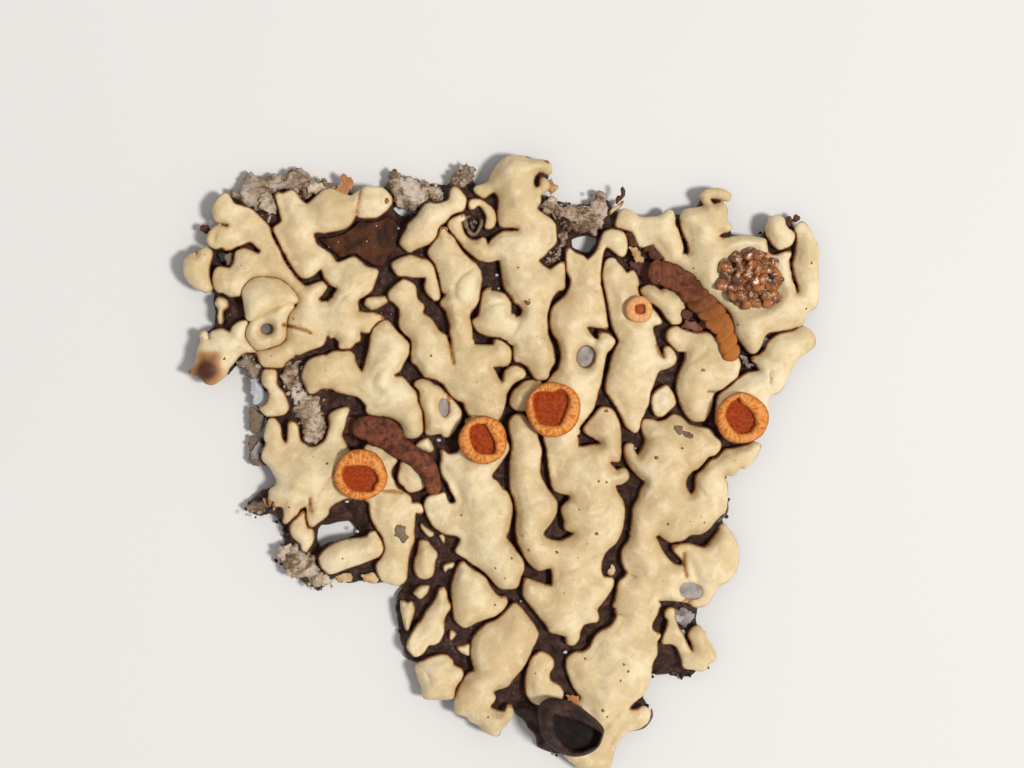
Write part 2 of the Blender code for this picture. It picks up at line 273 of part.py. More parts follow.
        (18.25, 8.75), (18.2, 8.3), (17.9, 8.05), (17.3, 7.85), (16.7, 7.75), (16.1, 7.65),
        (15.8, 7.3), (15.65, 6.9), (15.4, 6.5), (15.1, 6.45), (14.8, 6.65), (14.45, 7.1),
        (14.1, 7.6), (13.9, 8.4), (13.8, 8.8), (13.2, 9.4), (12.8, 9.8), (12.3, 10.1),
        (11.7, 10.8), (11.25, 11.2), (11.2, 11.7)],
    "lobe_right_knob": [
        (16.1, 14.4), (16.4, 14.6), (16.8, 14.6), (17.0, 14.4), (17.05, 14.1), (17.25, 13.85),
        (17.6, 13.55), (17.55, 13.1), (17.35, 12.85), (17.0, 12.7), (16.7, 12.65), (16.4, 12.85),
        (16.15, 13.3), (16.0, 13.8)],
    "lobe_right_low": [
        (18.0, 7.9), (18.4, 7.85), (18.7, 7.6), (18.85, 7.3), (18.8, 6.9), (18.5, 6.6),
        (17.9, 6.1), (17.4, 5.4), (17.2, 5.0), (17.0, 4.6), (16.8, 4.2), (16.1, 3.8), (16.05, 3.0),
        (15.9, 2.4), (15.5, 1.7), (14.6, 1.4), (13.6, 1.6), (13.0, 2.2), (12.95, 3.0),
        (13.1, 3.8), (13.7, 4.3), (14.2, 4.75), (14.8, 5.2), (15.5, 5.35), (15.4, 5.7),
        (15.1, 6.1), (15.5, 6.25), (15.9, 6.6), (16.1, 7.0), (16.5, 7.4), (17.0, 7.6),
        (17.5, 7.7)],
    "lobe_shoulder": [
        (7.5, 0.9), (7.9, 0.95), (8.0, 0.6), (8.3, 0.3), (8.5, 0.7), (8.7, 1.1), (8.6, 1.5),
        (8.5, 2.0), (8.6, 2.4), (9.1, 2.4), (9.5, 2.3), (10.0, 2.45), (10.4, 2.75), (10.8, 2.6),
        (11.2, 2.2), (11.5, 2.05), (12.0, 1.95), (12.5, 1.85), (12.9, 1.4), (13.2, 1.05),
        (13.2, 0.6), (12.9, 0.3), (12.5, 0.2), (12.3, -0.1), (11.9, -0.5), (11.5, -0.65),
        (11.2, -1.1), (11.15, -1.6), (11.4, -2.05), (11.7, -1.8), (11.75, -1.0), (12.1, -0.6),
        (12.55, -0.05), (13.0, 0.15), (13.45, 0.6), (14.2, 0.7), (14.8, 0.9), (15.3, 1.0),
        (15.6, 0.8), (15.2, 0.0), (14.7, -0.45), (14.4, -0.45), (14.0, -0.85), (13.4, -0.9),
        (13.6, -1.5), (13.6, -2.5), (13.5, -3.0), (13.1, -3.4), (12.5, -4.1), (12.1, -4.4),
        (11.4, -4.5), (10.9, -4.85), (10.2, -4.9), (9.6, -4.5), (9.3, -4.3), (8.6, -4.2),
        (7.95, -4.3), (7.95, -3.5), (8.0, -2.9), (8.3, -2.3), (8.45, -1.8), (8.7, -1.3),
        (8.2, -0.85), (7.75, -0.3), (7.5, 0.3)],
    "lobe_right_lower": [
        (13.4, -3.9), (13.7, -4.2), (14.0, -4.6), (14.2, -5.1), (14.3, -5.7), (14.2, -6.3),
        (13.9, -7.0), (13.5, -7.3), (13.1, -7.6), (12.8, -8.0), (12.6, -8.4), (12.2, -8.75),
        (11.7, -8.75), (11.2, -8.5), (10.2, -8.4), (9.5, -8.4), (8.8, -8.5), (7.8, -8.6),
        (6.95, -8.7), (7.0, -8.0), (7.15, -7.3), (7.6, -6.8), (7.35, -6.2), (7.3, -5.7),
        (7.4, -5.3), (7.7, -4.9), (7.9, -4.6), (8.6, -4.5), (9.2, -4.6), (9.5, -5.0),
        (9.75, -5.5), (10.1, -6.0), (10.6, -6.3), (11.0, -6.3), (10.95, -6.0), (10.5, -5.5),
        (10.4, -5.1), (11.2, -5.0), (11.8, -5.15), (12.3, -5.25), (12.7, -4.8), (13.1, -4.3)],
    "lobe_low_right": [
        (6.95, -9.0), (7.8, -8.9), (8.8, -8.8), (9.45, -8.75), (9.4, -9.2), (9.1, -9.8),
        (9.15, -10.2), (9.6, -10.5), (9.4, -10.9), (9.4, -11.6), (9.1, -12.2), (9.0, -12.9),
        (8.8, -13.6), (8.5, -14.1), (7.9, -14.65), (7.75, -14.95), (8.2, -15.0), (8.6, -14.85),
        (8.95, -15.1), (8.9, -15.5), (8.5, -16.0), (7.7, -16.25), (7.2, -16.7), (6.85, -17.3),
        (6.7, -17.9), (6.5, -18.4), (6.0, -18.8), (5.4, -18.8), (4.8, -18.45), (4.2, -18.0),
        (3.9, -17.7), (3.8, -17.2), (3.9, -16.2), (4.1, -15.2), (4.6, -14.6), (4.8, -14.2),
        (4.45, -13.7), (4.2, -13.1), (4.0, -12.4), (4.05, -11.9), (4.5, -11.55), (5.0, -11.5),
        (5.4, -11.2), (5.7, -10.6), (6.1, -10.25), (6.6, -10.0), (7.0, -9.4)],
    "lobe_tail": [
        (10.05, -8.9), (10.4, -8.95), (10.45, -9.4), (10.65, -10.0), (10.95, -10.5),
        (11.2, -11.0), (11.5, -11.4), (11.45, -10.9), (11.3, -10.5), (11.45, -10.2), (11.8, -10.0),
        (12.0, -10.05), (12.4, -10.7), (12.85, -11.5), (12.9, -11.9), (12.5, -12.2),
        (12.2, -12.6), (11.5, -12.5), (11.0, -12.4), (10.85, -11.8), (10.55, -11.2),
        (10.2, -11.0), (9.75, -10.95), (9.85, -10.5), (10.05, -10.0), (10.1, -9.6), (9.9, -9.3)],
    "lobe_left_column": [
        (-14.15, 5.35), (-13.55, 5.4), (-13.4, 5.1), (-13.4, 4.5), (-13.0, 4.0), (-12.8, 3.6),
        (-12.7, 3.2), (-12.9, 2.8), (-13.3, 2.7), (-13.9, 2.7), (-14.2, 2.9), (-14.35, 3.15),
        (-14.0, 3.4), (-13.85, 3.8), (-13.9, 4.2), (-14.2, 4.6)],
    "lobe_lower_left": [
        (-13.65, 2.5), (-13.9, 2.2), (-14.1, 1.4), (-14.0, 1.0), (-14.2, 0.5), (-14.2, 0.05),
        (-13.8, -0.4), (-13.5, -0.9), (-13.35, -1.3), (-13.5, -1.6), (-13.75, -1.8),
        (-13.85, -2.3), (-13.85, -2.75), (-13.65, -2.5), (-13.6, -2.75), (-13.2, -2.75),
        (-13.0, -2.9), (-12.95, -3.3), (-12.9, -3.75), (-12.5, -3.5), (-12.15, -3.25),
        (-12.0, -2.95), (-11.75, -2.8), (-11.6, -2.9), (-11.6, -3.3), (-11.45, -3.9),
        (-11.3, -4.0), (-10.9, -3.7), (-10.4, -3.3), (-10.25, -2.85), (-9.8, -2.5),
        (-9.3, -2.3), (-8.9, -2.2), (-8.6, -1.6), (-8.5, -0.8), (-8.6, 0.0), (-9.1, 0.6),
        (-9.3, 1.0), (-9.5, 1.5), (-9.35, 2.0), (-9.2, 2.6), (-9.1, 3.1), (-9.5, 3.1),
        (-10.0, 2.9), (-10.25, 2.6), (-10.2, 2.2), (-10.25, 1.8), (-10.5, 1.2), (-10.8, 0.95),
        (-11.2, 0.75), (-11.6, 0.85), (-12.0, 1.15), (-12.1, 1.6), (-12.2, 2.1), (-12.6, 2.3),
        (-12.7, 2.0), (-12.75, 1.4), (-12.85, 1.05), (-13.1, 1.3), (-13.25, 2.1)],
    "lobe_left_tip": [
        (-12.1, -3.35), (-11.8, -3.1), (-11.75, -3.5), (-11.6, -4.05), (-11.3, -4.15),
        (-11.2, -4.5), (-11.25, -4.9), (-11.5, -5.3), (-11.65, -5.5), (-11.85, -5.4),
        (-12.0, -5.0), (-12.4, -4.6), (-12.55, -4.2), (-12.5, -3.85)],
    "lobe_tongue": [
        (-10.85, -5.9), (-10.7, -5.6), (-10.4, -5.3), (-10.0, -5.05), (-9.6, -4.85),
        (-8.7, -4.7), (-8.0, -4.6), (-7.8, -4.35), (-7.55, -4.3), (-7.35, -4.5), (-7.15, -4.85),
        (-7.05, -5.3), (-7.2, -5.7), (-7.5, -5.85), (-8.4, -6.2), (-9.4, -6.55), (-9.8, -6.65),
        (-10.2, -6.75), (-10.5, -6.6), (-10.75, -6.3)],
    "lobe_foot": [
        (-8.0, 0.9), (-7.4, 0.9), (-6.9, 0.6), (-6.5, 0.25), (-6.2, 0.0), (-6.45, -0.4),
        (-6.55, -0.8), (-6.4, -1.25), (-6.2, -1.7), (-5.9, -1.9), (-5.7, -2.0), (-5.4, -2.2),
        (-5.3, -2.55), (-4.9, -2.6), (-4.65, -2.9), (-4.7, -3.2), (-5.05, -3.15), (-5.15, -3.6),
        (-5.2, -4.3), (-5.2, -4.9), (-5.4, -5.4), (-5.5, -5.8), (-5.6, -6.7), (-5.65, -7.1),
        (-5.95, -7.4), (-6.4, -7.45), (-7.0, -7.2), (-7.3, -6.8), (-7.4, -6.3), (-7.15, -5.9),
        (-6.9, -5.4), (-6.95, -5.0), (-7.15, -4.5), (-7.45, -4.0), (-7.65, -3.6), (-7.8, -3.0),
        (-7.85, -2.6), (-8.2, -2.2), (-8.3, -1.5), (-8.2, -0.8), (-8.3, 0.0)],
    "lobe_islet_mid": [
        (-5.9, -0.1), (-5.55, -0.1), (-5.2, -0.35), (-4.9, -0.8), (-4.6, -1.2), (-4.5, -1.5),
        (-4.7, -1.7), (-5.3, -1.9), (-5.55, -1.8), (-5.75, -1.55), (-6.0, -1.35), (-6.1, -1.0),
        (-6.0, -0.5)],
    "lobe_centre_low": [
        (-3.55, 0.6), (-3.2, 0.4), (-2.9, 0.35), (-2.5, 0.5), (-2.2, 1.0), (-1.9, 1.8),
        (-1.2, 2.1), (-0.4, 2.1), (0.1, 1.7), (0.4, 1.1), (0.5, 0.7), (0.3, 0.3), (-0.1, -0.3),
        (-0.5, -0.95), (-0.2, -1.3), (0.1, -1.7), (0.4, -1.95), (0.6, -2.4), (0.7, -3.0),
        (0.6, -3.7), (0.5, -4.2), (0.35, -4.6), (0.6, -5.0), (0.9, -5.4), (1.2, -5.8),
        (1.4, -6.2), (1.4, -6.6), (1.2, -7.0), (1.1, -7.4), (0.9, -7.65), (0.2, -7.7),
        (-0.2, -7.5), (-0.6, -7.0), (-0.9, -6.7), (-1.3, -6.4), (-1.8, -6.1), (-2.0, -5.9),
        (-2.4, -5.7), (-2.65, -5.45), (-2.45, -5.0), (-2.4, -4.7), (-2.7, -4.5), (-3.3, -4.4),
        (-3.9, -4.0), (-4.15, -3.7), (-4.4, -3.2), (-4.5, -2.8), (-4.45, -2.4), (-4.2, -2.15),
        (-3.6, -2.0), (-3.35, -2.0), (-3.1, -2.5), (-2.8, -2.6), (-2.65, -2.4), (-2.9, -1.9),
        (-3.15, -1.35), (-3.45, -0.95), (-3.6, -0.5), (-3.5, 0.1)],
    "lobe_islet_low": [
        (-4.8, -4.85), (-4.4, -4.85), (-4.2, -5.1), (-3.85, -5.5), (-3.8, -5.75), (-3.95, -6.2),
        (-4.0, -6.7), (-4.15, -7.0), (-4.5, -7.1), (-4.9, -7.0), (-5.1, -6.6), (-5.1, -6.1),
        (-4.95, -5.6)],
    "lobe_slant": [
        (-3.6, -7.7), (-3.4, -7.65), (-3.25, -7.9), (-3.2, -8.3), (-3.0, -8.8), (-3.25, -9.2),
        (-3.4, -9.6), (-3.4, -10.3), (-3.65, -10.85), (-4.0, -11.05), (-4.3, -11.1),
        (-4.6, -11.5), (-5.0, -11.75), (-5.3, -11.6), (-5.5, -11.3), (-5.5, -10.9),
        (-5.3, -10.5), (-5.0, -9.95), (-4.7, -9.6), (-4.4, -9.1), (-4.0, -8.6), (-3.75, -8.2)],
    "lobe_heart": [
        (-2.35, -6.15), (-2.15, -6.15), (-1.9, -6.4), (-1.6, -6.6), (-1.2, -6.85), (-0.9, -7.1),
        (-0.6, -7.6), (-0.3, -8.0), (0.0, -8.2), (0.3, -8.2), (0.4, -8.5), (0.3, -8.8),
        (0.0, -9.1), (-0.4, -9.35), (-0.9, -9.5), (-1.4, -9.7), (-2.0, -9.98), (-2.3, -9.95),
        (-2.6, -9.7), (-2.75, -9.3), (-2.85, -8.4), (-2.9, -7.9), (-2.85, -7.4), (-2.6, -6.6)],
    "lobe_low_left": [
        (-5.0, -12.4), (-4.4, -11.95), (-4.0, -11.8), (-3.6, -11.7), (-3.2, -11.75), (-2.9, -12.0),
        (-2.8, -12.3), (-2.3, -12.6), (-2.3, -13.1), (-2.6, -13.5), (-2.75, -13.9),
        (-2.8, -14.25), (-3.5, -14.35), (-4.4, -14.3), (-4.6, -14.1), (-4.65, -13.7),
        (-4.9, -13.0)],
    "lobe_low_middle": [
        (0.8, -8.6), (1.0, -8.65), (1.6, -9.3), (2.0, -9.9), (2.2, -10.2), (2.25, -10.5),
        (1.95, -11.2), (1.8, -11.6), (1.5, -12.2), (1.2, -12.6), (0.7, -13.2), (0.4, -13.55),
        (-0.4, -13.85), (-0.3, -14.3), (-0.6, -14.8), (0.1, -15.1), (0.35, -15.0),
        (0.45, -14.7), (0.65, -14.75), (0.7, -15.3), (0.3, -15.9), (0.0, -16.2), (-0.2, -16.5),
        (-0.6, -16.35), (-1.0, -16.2), (-1.2, -15.9), (-1.8, -15.6), (-2.0, -15.35),
        (-2.6, -15.1), (-2.65, -14.5), (-2.55, -13.9), (-2.35, -13.5), (-2.15, -13.15),
        (-1.85, -12.8), (-1.5, -12.6), (-1.7, -11.8), (-1.7, -11.3), (-1.65, -10.9),
        (-1.5, -10.5), (-0.9, -9.9), (-0.5, -9.7), (-0.1, -9.5), (0.5, -8.9)],
    "lobe_inner_low": [
        (2.2, -11.6), (2.5, -11.5), (2.8, -11.6), (3.1, -11.9), (3.2, -12.3), (2.95, -12.8),
        (3.0, -13.2), (3.4, -13.45), (3.65, -13.7), (3.75, -14.1), (3.4, -14.6), (2.6, -14.7),
        (2.0, -14.5), (1.65, -14.1), (1.55, -13.7), (1.6, -12.8), (1.9, -11.9)],
}
PERFORATIONS = {
    "lobe_left_pierced": [((-13.95, 7.85), 0.36, 0.32, 0.0)],
    "lobe_teardrop": [((-3.35, 3.15), 0.25, 0.5, 8.0)],
    "lobe_centre_right": [((5.15, 6.2), 0.52, 0.62, -10.0)],
    "lobe_right_lower": [((11.45, -7.85), 0.62, 0.42, -12.0)],
}
PERFORATION_POINTS = 10

# ---------------------------------------------------------------- cups: middle, radii, tilt, heights
CUPS = {
    "cup_left": dict(at=(-8.3, -0.85), radius=1.62, stretch=0.97, height=1.25, finish="cup"),
    "cup_middle": dict(at=(-1.0, 1.22), radius=1.47, stretch=1.0, height=1.2, finish="cup"),
    "cup_centre": dict(at=(3.17, 3.05), radius=1.66, stretch=1.02, height=1.35, finish="cup"),
    "cup_right": dict(at=(14.42, 2.52), radius=1.6, stretch=0.98, height=1.3, finish="cup"),
    "cup_small": dict(at=(8.3, 9.0), radius=0.82, stretch=1.0, height=0.75, finish="cup"),
    "cup_dark": dict(at=(4.25, -15.85), radius=1.95, stretch=0.86, height=1.75, finish="old_cup"),
}
CUP_DARK_TURN = -32.0      # degrees: the long way of the old cup's mouth
# a cup's turned profile: fraction of the radius, fraction of the height
CUP_PROFILE = [(0.0, 0.0), (0.55, 0.0), (0.80, 0.28), (0.98, 0.66), (1.0, 0.84), (0.90, 1.0),
               (0.74, 0.97), (0.62, 0.76), (0.40, 0.60), (0.0, 0.55)]

# ---------------------------------------------------------------- liverwort shoots: middle line, half widths
SHOOTS = {
    "liverwort_shoot_right": dict(
        line=[(9.3, 11.35), (10.0, 11.15), (10.7, 11.0), (11.3, 10.5), (11.9, 9.9), (12.5, 9.35),
              (13.1, 8.75), (13.45, 8.1), (13.6, 7.4), (13.8, 6.7), (13.9, 6.1)],
        half_width=0.62, thickness=0.55),
    "liverwort_shoot_left": dict(
        line=[(-9.2, 2.2), (-8.5, 2.3), (-7.6, 2.1), (-6.9, 1.7), (-6.3, 1.1), (-5.6, 0.55),
              (-4.9, 0.15), (-4.3, -0.35), (-4.05, -1.0), (-3.95, -1.7)],
        half_width=0.55, thickness=0.55),
}

# ---------------------------------------------------------------- low pads: outline, floor, wall, rise
PADS = {
    "liverwort_tuft": dict(
        outline=[(13.6, 12.2), (14.4, 12.45), (15.3, 12.55), (16.2, 12.2), (16.8, 11.5), (17.0, 10.7),
                 (16.8, 9.8), (16.2, 9.2), (15.3, 8.95), (14.4, 9.1), (13.6, 9.6), (13.1, 10.4),
                 (13.1, 11.4)],
        floor=SEAT, wall=SEAT + 0.35, rise=0.5, finish="liverwort"),
    "liverwort_sheet": dict(
        outline=[(-10.8, 13.3), (-10.0, 13.4), (-9.3, 13.65), (-8.8, 14.0), (-8.5, 14.3), (-7.9, 14.3),
                 (-7.3, 14.35), (-6.8, 14.6), (-6.3, 14.3), (-6.15, 13.7), (-6.2, 13.0), (-6.3, 12.5),
                 (-6.7, 12.2), (-7.0, 11.75), (-7.3, 11.65), (-7.8, 11.8), (-8.3, 12.1), (-8.7, 12.4),
                 (-9.1, 12.35), (-9.6, 12.15), (-9.9, 12.4), (-10.3, 12.75), (-10.7, 13.0)],
        floor=LOBE_FLOOR, wall=1.05, rise=0.1, finish="dry_leaf"),
    "bark_top_left": dict(
        outline=[(-16.1, 16.1), (-15.6, 16.5), (-15.2, 17.1), (-14.4, 17.15), (-13.7, 17.1),
                 (-12.8, 17.3), (-11.95, 17.65), (-11.4, 17.0), (-11.4, 16.2), (-11.7, 15.8),
                 (-12.2, 16.2), (-12.7, 16.35), (-13.5, 16.2), (-13.6, 15.6), (-13.5, 15.0),
                 (-13.5, 14.6), (-13.9, 14.3), (-14.3, 14.75), (-14.8, 15.2), (-15.5, 15.45),
                 (-15.9, 15.7)],
        floor=LOBE_FLOOR, wall=1.4, rise=0.3, finish="bark"),
    "bark_top_middle": dict(
        outline=[(-6.9, 16.45), (-6.7, 17.1), (-6.4, 17.45), (-5.9, 17.1), (-5.2, 16.85), (-4.4, 16.8),
                 (-3.8, 16.5), (-3.4, 16.1), (-3.5, 15.65), (-4.4, 15.55), (-4.9, 15.2),
                 (-5.5, 15.1), (-6.3, 15.3), (-6.4, 15.9), (-6.7, 16.2)],
        floor=LOBE_FLOOR, wall=1.4, rise=0.3, finish="bark"),
    "bark_top_right": dict(
        outline=[(2.6, 15.75), (3.1, 15.85), (3.6, 15.4), (4.5, 15.2), (5.2, 15.3), (5.7, 16.0),
                 (6.3, 15.95), (6.5, 15.5), (6.4, 14.7), (6.2, 14.0), (5.8, 13.6), (5.0, 13.7),
                 (4.2, 13.75), (3.95, 13.3), (3.85, 12.9), (3.5, 12.9), (3.55, 13.6),
                 (3.5, 14.1), (3.2, 14.5), (2.8, 14.85), (2.5, 15.1)],
        floor=LOBE_FLOOR, wall=1.45, rise=0.35, finish="bark"),
    "bark_left": dict(
        outline=[(-12.1, 6.2), (-11.9, 5.9), (-12.0, 5.0), (-11.8, 4.3), (-11.4, 3.85), (-11.0, 3.9),
                 (-10.75, 3.2), (-10.5, 2.5), (-10.4, 1.8), (-10.65, 1.3), (-11.2, 0.95),
                 (-11.7, 1.1), (-11.95, 1.5), (-12.05, 2.2), (-12.5, 2.6), (-12.55, 3.3),
                 (-12.75, 4.0), (-13.2, 4.6), (-13.2, 5.3), (-12.7, 5.7), (-12.4, 6.05)],
        floor=LOBE_FLOOR, wall=1.3, rise=0.3, finish="bark"),
    "bark_lower_left": dict(
        outline=[(-12.2, -5.0), (-11.9, -5.6), (-11.5, -5.6), (-11.1, -5.4), (-11.0, -6.1),
                 (-10.85, -6.6), (-10.5, -6.9), (-10.5, -7.4), (-11.0, -7.7), (-11.5, -7.5),
                 (-12.1, -7.0), (-12.9, -6.5), (-13.2, -6.0), (-12.9, -5.3)],
        floor=LOBE_FLOOR, wall=1.2, rise=0.3, finish="bark"),
}


# ---------------------------------------------------------------- plane geometry
def inside(x, y, loop):
    """Even-odd test of a point against a closed outline."""
    odd = False
    for (x0, y0), (x1, y1) in zip(loop, loop[1:] + loop[:1]):
        if (y0 > y) != (y1 > y) and x < x0 + (y - y0) * (x1 - x0) / (y1 - y0):
            odd = not odd
    return odd


def distance_to_line(x, y, line, closed=True):
    """Shortest distance from a point to a polyline."""
    ends = line[1:] + line[:1] if closed else line[1:]
    best = math.inf
    for (x0, y0), (x1, y1) in zip(line, ends):
        run = Vector((x1 - x0, y1 - y0))
        share = max(0.0, min(1.0, ((x - x0) * run.x + (y - y0) * run.y) / run.length_squared))
        best = min(best, math.hypot(x - x0 - share * run.x, y - y0 - share * run.y))
    return best


def oval(middle, half_x, half_y, turn, count):
    """Points of a turned ellipse."""
    cosine, sine = math.cos(math.radians(turn)), math.sin(math.radians(turn))
    points = []
    for step in range(count):
        angle = 2 * math.pi * step / count
        across, along = half_x * math.cos(angle), half_y * math.sin(angle)
        points.append((middle[0] + across * cosine - along * sine,
                       middle[1] + across * sine + along * cosine))
    return points


def under_something(x, y):
    """True where a cup, a shoot or the tuft stands on the lobes, which are flat there."""
    margin = SEAT_MARGIN + LATTICE * 0.5
    for cup in CUPS.values():
        if math.hypot(x - cup["at"][0], y - cup["at"][1]) < cup["radius"] + margin:
            return True
    for shoot in SHOOTS.values():
        if distance_to_line(x, y, shoot["line"], closed=False) < shoot["half_width"] + margin:
            return True
    tuft = PADS["liverwort_tuft"]["outline"]
    return inside(x, y, tuft) or distance_to_line(x, y, tuft) < margin


def lattice_points(loops):
    """Points inside the outline and clear of every edge, in staggered rows."""
    outline = loops[0]
    left, right = min(p[0] for p in outline), max(p[0] for p in outline)
    low, high = min(p[1] for p in outline), max(p[1] for p in outline)
    points = []
    row_step = LATTICE * math.sqrt(3) / 2
    for row in range(int((high - low) / row_step) + 1):
        y = low + (row + 0.5) * row_step
        for column in range(int((right - left) / LATTICE) + 2):
            x = left + (column + 0.5 * (row % 2)) * LATTICE
            solid = inside(x, y, outline) and not any(inside(x, y, hole) for hole in loops[1:])
            if solid and min(distance_to_line(x, y, loop) for loop in loops) > EDGE_MARGIN:
                points.append((x, y))
    return points


def fill(loops, extra):
    """Triangles over the outline, around its holes and through the extra points."""
    points = [Vector(p) for loop in loops for p in loop] + [Vector(p) for p in extra]
    edges, start = [], 0
    for loop in loops:
        count = len(loop)
        edges += [(start + i, start + (i + 1) % count) for i in range(count)]
        start += count
    verts, _, faces, origins, _, _ = delaunay_2d_cdt(points, edges, [], 1, 1e-6)
    if len(verts) != len(points):
        raise ValueError("an outline crosses itself")
    source = [origin[0] for origin in origins]
    kept = []
    for face in faces:
        x = sum(verts[i].x for i in face) / 3
        y = sum(verts[i].y for i in face) / 3
        if inside(x, y, loops[0]) and not any(inside(x, y, hole) for hole in loops[1:]):
            kept.append([source[i] for i in face])
    return kept


# ---------------------------------------------------------------- building blocks
def material(finish):
    """The Principled BSDF of a finish, made once."""
    found = bpy.data.materials.get(finish)
    if found:
        return found
    colour, roughness = FINISHES[finish]
    made = bpy.data.materials.new(finish)
    made.use_nodes = True
    shader = made.node_tree.nodes["Principled BSDF"]
    shader.inputs["Base Color"].default_value = (*colour, 1.0)
    shader.inputs["Roughness"].default_value = roughness
    shader.inputs["Metallic"].default_value = 0.0
    made.diffuse_color = (*colour, 1.0)
    return made


def add_object(name, mesh_points, faces, middle, finish, parent):
    """One closed body, centred on its own middle and placed by its location."""
    body = bmesh.new()
    verts = [body.verts.new(((x - middle[0]) * MM, (y - middle[1]) * MM, z * MM))
             for x, y, z in mesh_points]
    for face in faces:
        body.faces.new([verts[i] for i in face])
    bmesh.ops.recalc_face_normals(body, faces=body.faces)
    mesh = bpy.data.meshes.new(name)
    body.to_mesh(mesh)
    body.free()
    mesh.materials.append(material(finish))
    piece = bpy.data.objects.new(name, mesh)
    piece.location = (middle[0] * MM, middle[1] * MM, 0.0)
    piece.parent = parent
    bpy.context.scene.collection.objects.link(piece)
    return piece


def add_pad(name, loops, floor, wall, rise, finish, parent, dimple=False):
    """A flat-bottomed pad with upright edges and a softly swollen top."""
    extra = lattice_points(loops) if rise else []
    rim = [p for loop in loops for p in loop]
    points = [(x, y, wall) for x, y in rim]
    for x, y in extra:
        reach = min(distance_to_line(x, y, loop) for loop in loops)
        swell = rise * (1 - math.exp(-reach / SWELL_LENGTH))
        if dimple and under_something(x, y):
            swell = 0.0
        points.append((x, y, wall + swell))
    faces = fill(loops, extra)
    base = len(points)
    points += [(x, y, floor) for x, y in rim]
    faces += [[base + i for i in face] for face in fill(loops, [])]
    start = 0
    for loop in loops:
        count = len(loop)
        for i in range(count):
            here, after = start + i, start + (i + 1) % count
            faces.append([here, after, base + after])
            faces.append([here, base + after, base + here])
        start += count
    middle = (sum(p[0] for p in loops[0]) / len(loops[0]), sum(p[1] for p in loops[0]) / len(loops[0]))
    return add_object(name, points, faces, middle, finish, parent)


def rings_to_body(rings, first_tip, last_tip):
    """Points and faces of a closed body through rings of equal size, with a tip at each end."""
    sides = len(rings[0])
    points = [first_tip] + [p for ring in rings for p in ring] + [last_tip]
    faces = []
    for i in range(sides):
        after = (i + 1) % sides
        faces.append([0, 1 + after, 1 + i])
        for ring in range(len(rings) - 1):
            low = 1 + ring * sides
            high = low + sides
            faces.append([low + i, low + after, high + after])
            faces.append([low + i, high + after, high + i])
        top = 1 + (len(rings) - 1) * sides
        faces.append([top + i, top + after, len(points) - 1])
    return points, faces


def add_cup(name, cup, parent):
    """A turned cup with a thick rim and a hollow disc, its mouth slightly oval."""
    x, y = cup["at"]
    turn = CUP_DARK_TURN if name == "cup_dark" else 0.0
    rings = []
    for across, up in CUP_PROFILE[1:-1]:
        half = cup["radius"] * across
        level = SEAT + cup["height"] * up
        ring = oval((x, y), half, half * cup["stretch"], turn, CUP_SIDES)
        rings.append([(px, py, level) for px, py in ring])
    foot = (x, y, SEAT + cup["height"] * CUP_PROFILE[0][1])
    disc = (x, y, SEAT + cup["height"] * CUP_PROFILE[-1][1])
    points, faces = rings_to_body(rings, foot, disc)
    return add_object(name, points, faces, (x, y), cup["finish"], parent)


def add_shoot(name, shoot, parent):
    """A flattened leafy shoot lying along its middle line."""
    line = shoot["line"]
    count = len(line)
    mid_height = SEAT + shoot["thickness"] / 2
    rings = []
    for i in range(count):
        before, after = Vector(line[max(i - 1, 0)]), Vector(line[min(i + 1, count - 1)])
        along = (after - before).normalized()
        side = Vector((-along.y, along.x))
        taper = 0.6 + 0.4 * math.sin(math.pi * (i + 0.6) / (count + 0.2))
        ring = []
        for step in range(SHOOT_SIDES):
            angle = 2 * math.pi * step / SHOOT_SIDES
            across = shoot["half_width"] * taper * math.cos(angle)
            up = shoot["thickness"] / 2 * math.sin(angle)
            ring.append((line[i][0] + side.x * across, line[i][1] + side.y * across, mid_height + up))
        rings.append(ring)
    points, faces = rings_to_body(rings, (*line[0], mid_height), (*line[-1], mid_height))
    return add_object(name, points, faces, line[count // 2], "liverwort", parent)


# ---------------------------------------------------------------- the specimen
def build_specimen():
    for old in list(bpy.data.objects):
        bpy.data.objects.remove(old, do_unlink=True)
    outline_points = list(SHEET_OUTLINE) + [p for loop in LOBES.values() for p in loop]
    left, right = min(p[0] for p in outline_points), max(p[0] for p in outline_points)
    low, high = min(p[1] for p in outline_points), max(p[1] for p in outline_points)
    specimen = bpy.data.objects.new("specimen", None)
    specimen.location = (-(left + right) / 2 * MM, -(low + high) / 2 * MM, 0.0)
    bpy.context.scene.collection.objects.link(specimen)

    add_pad("underside", [SHEET_OUTLINE] + SHEET_HOLES, 0.0, SHEET_TOP, 0.0, "lower_surface", specimen)
    for name, outline in LOBES.items():
        holes = [oval(*hole, PERFORATION_POINTS) for hole in PERFORATIONS.get(name, [])]
        add_pad(name, [outline] + holes, LOBE_FLOOR, LOBE_WALL, LOBE_RISE, "cortex", specimen,
                dimple=True)
    for name, cup in CUPS.items():
        add_cup(name, cup, specimen)
    for name, shoot in SHOOTS.items():
        add_shoot(name, shoot, specimen)
    for name, pad in PADS.items():
        add_pad(name, [pad["outline"]], pad["floor"], pad["wall"], pad["rise"], pad["finish"], specimen)
    bpy.context.view_layer.update()


build_specimen()
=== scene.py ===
"""Looks for a dried fragment of an inflated leafy lichen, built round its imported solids.

Run as a script inside Blender. Plan positions are in the drawing's millimetres, heights in
millimetres above the surface that the specimen lies on.
"""

import json
import math

import bpy
import numpy as np
from bpy.props import FloatProperty, FloatVectorProperty, IntProperty, PointerProperty
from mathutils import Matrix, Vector
from mathutils.kdtree import KDTree

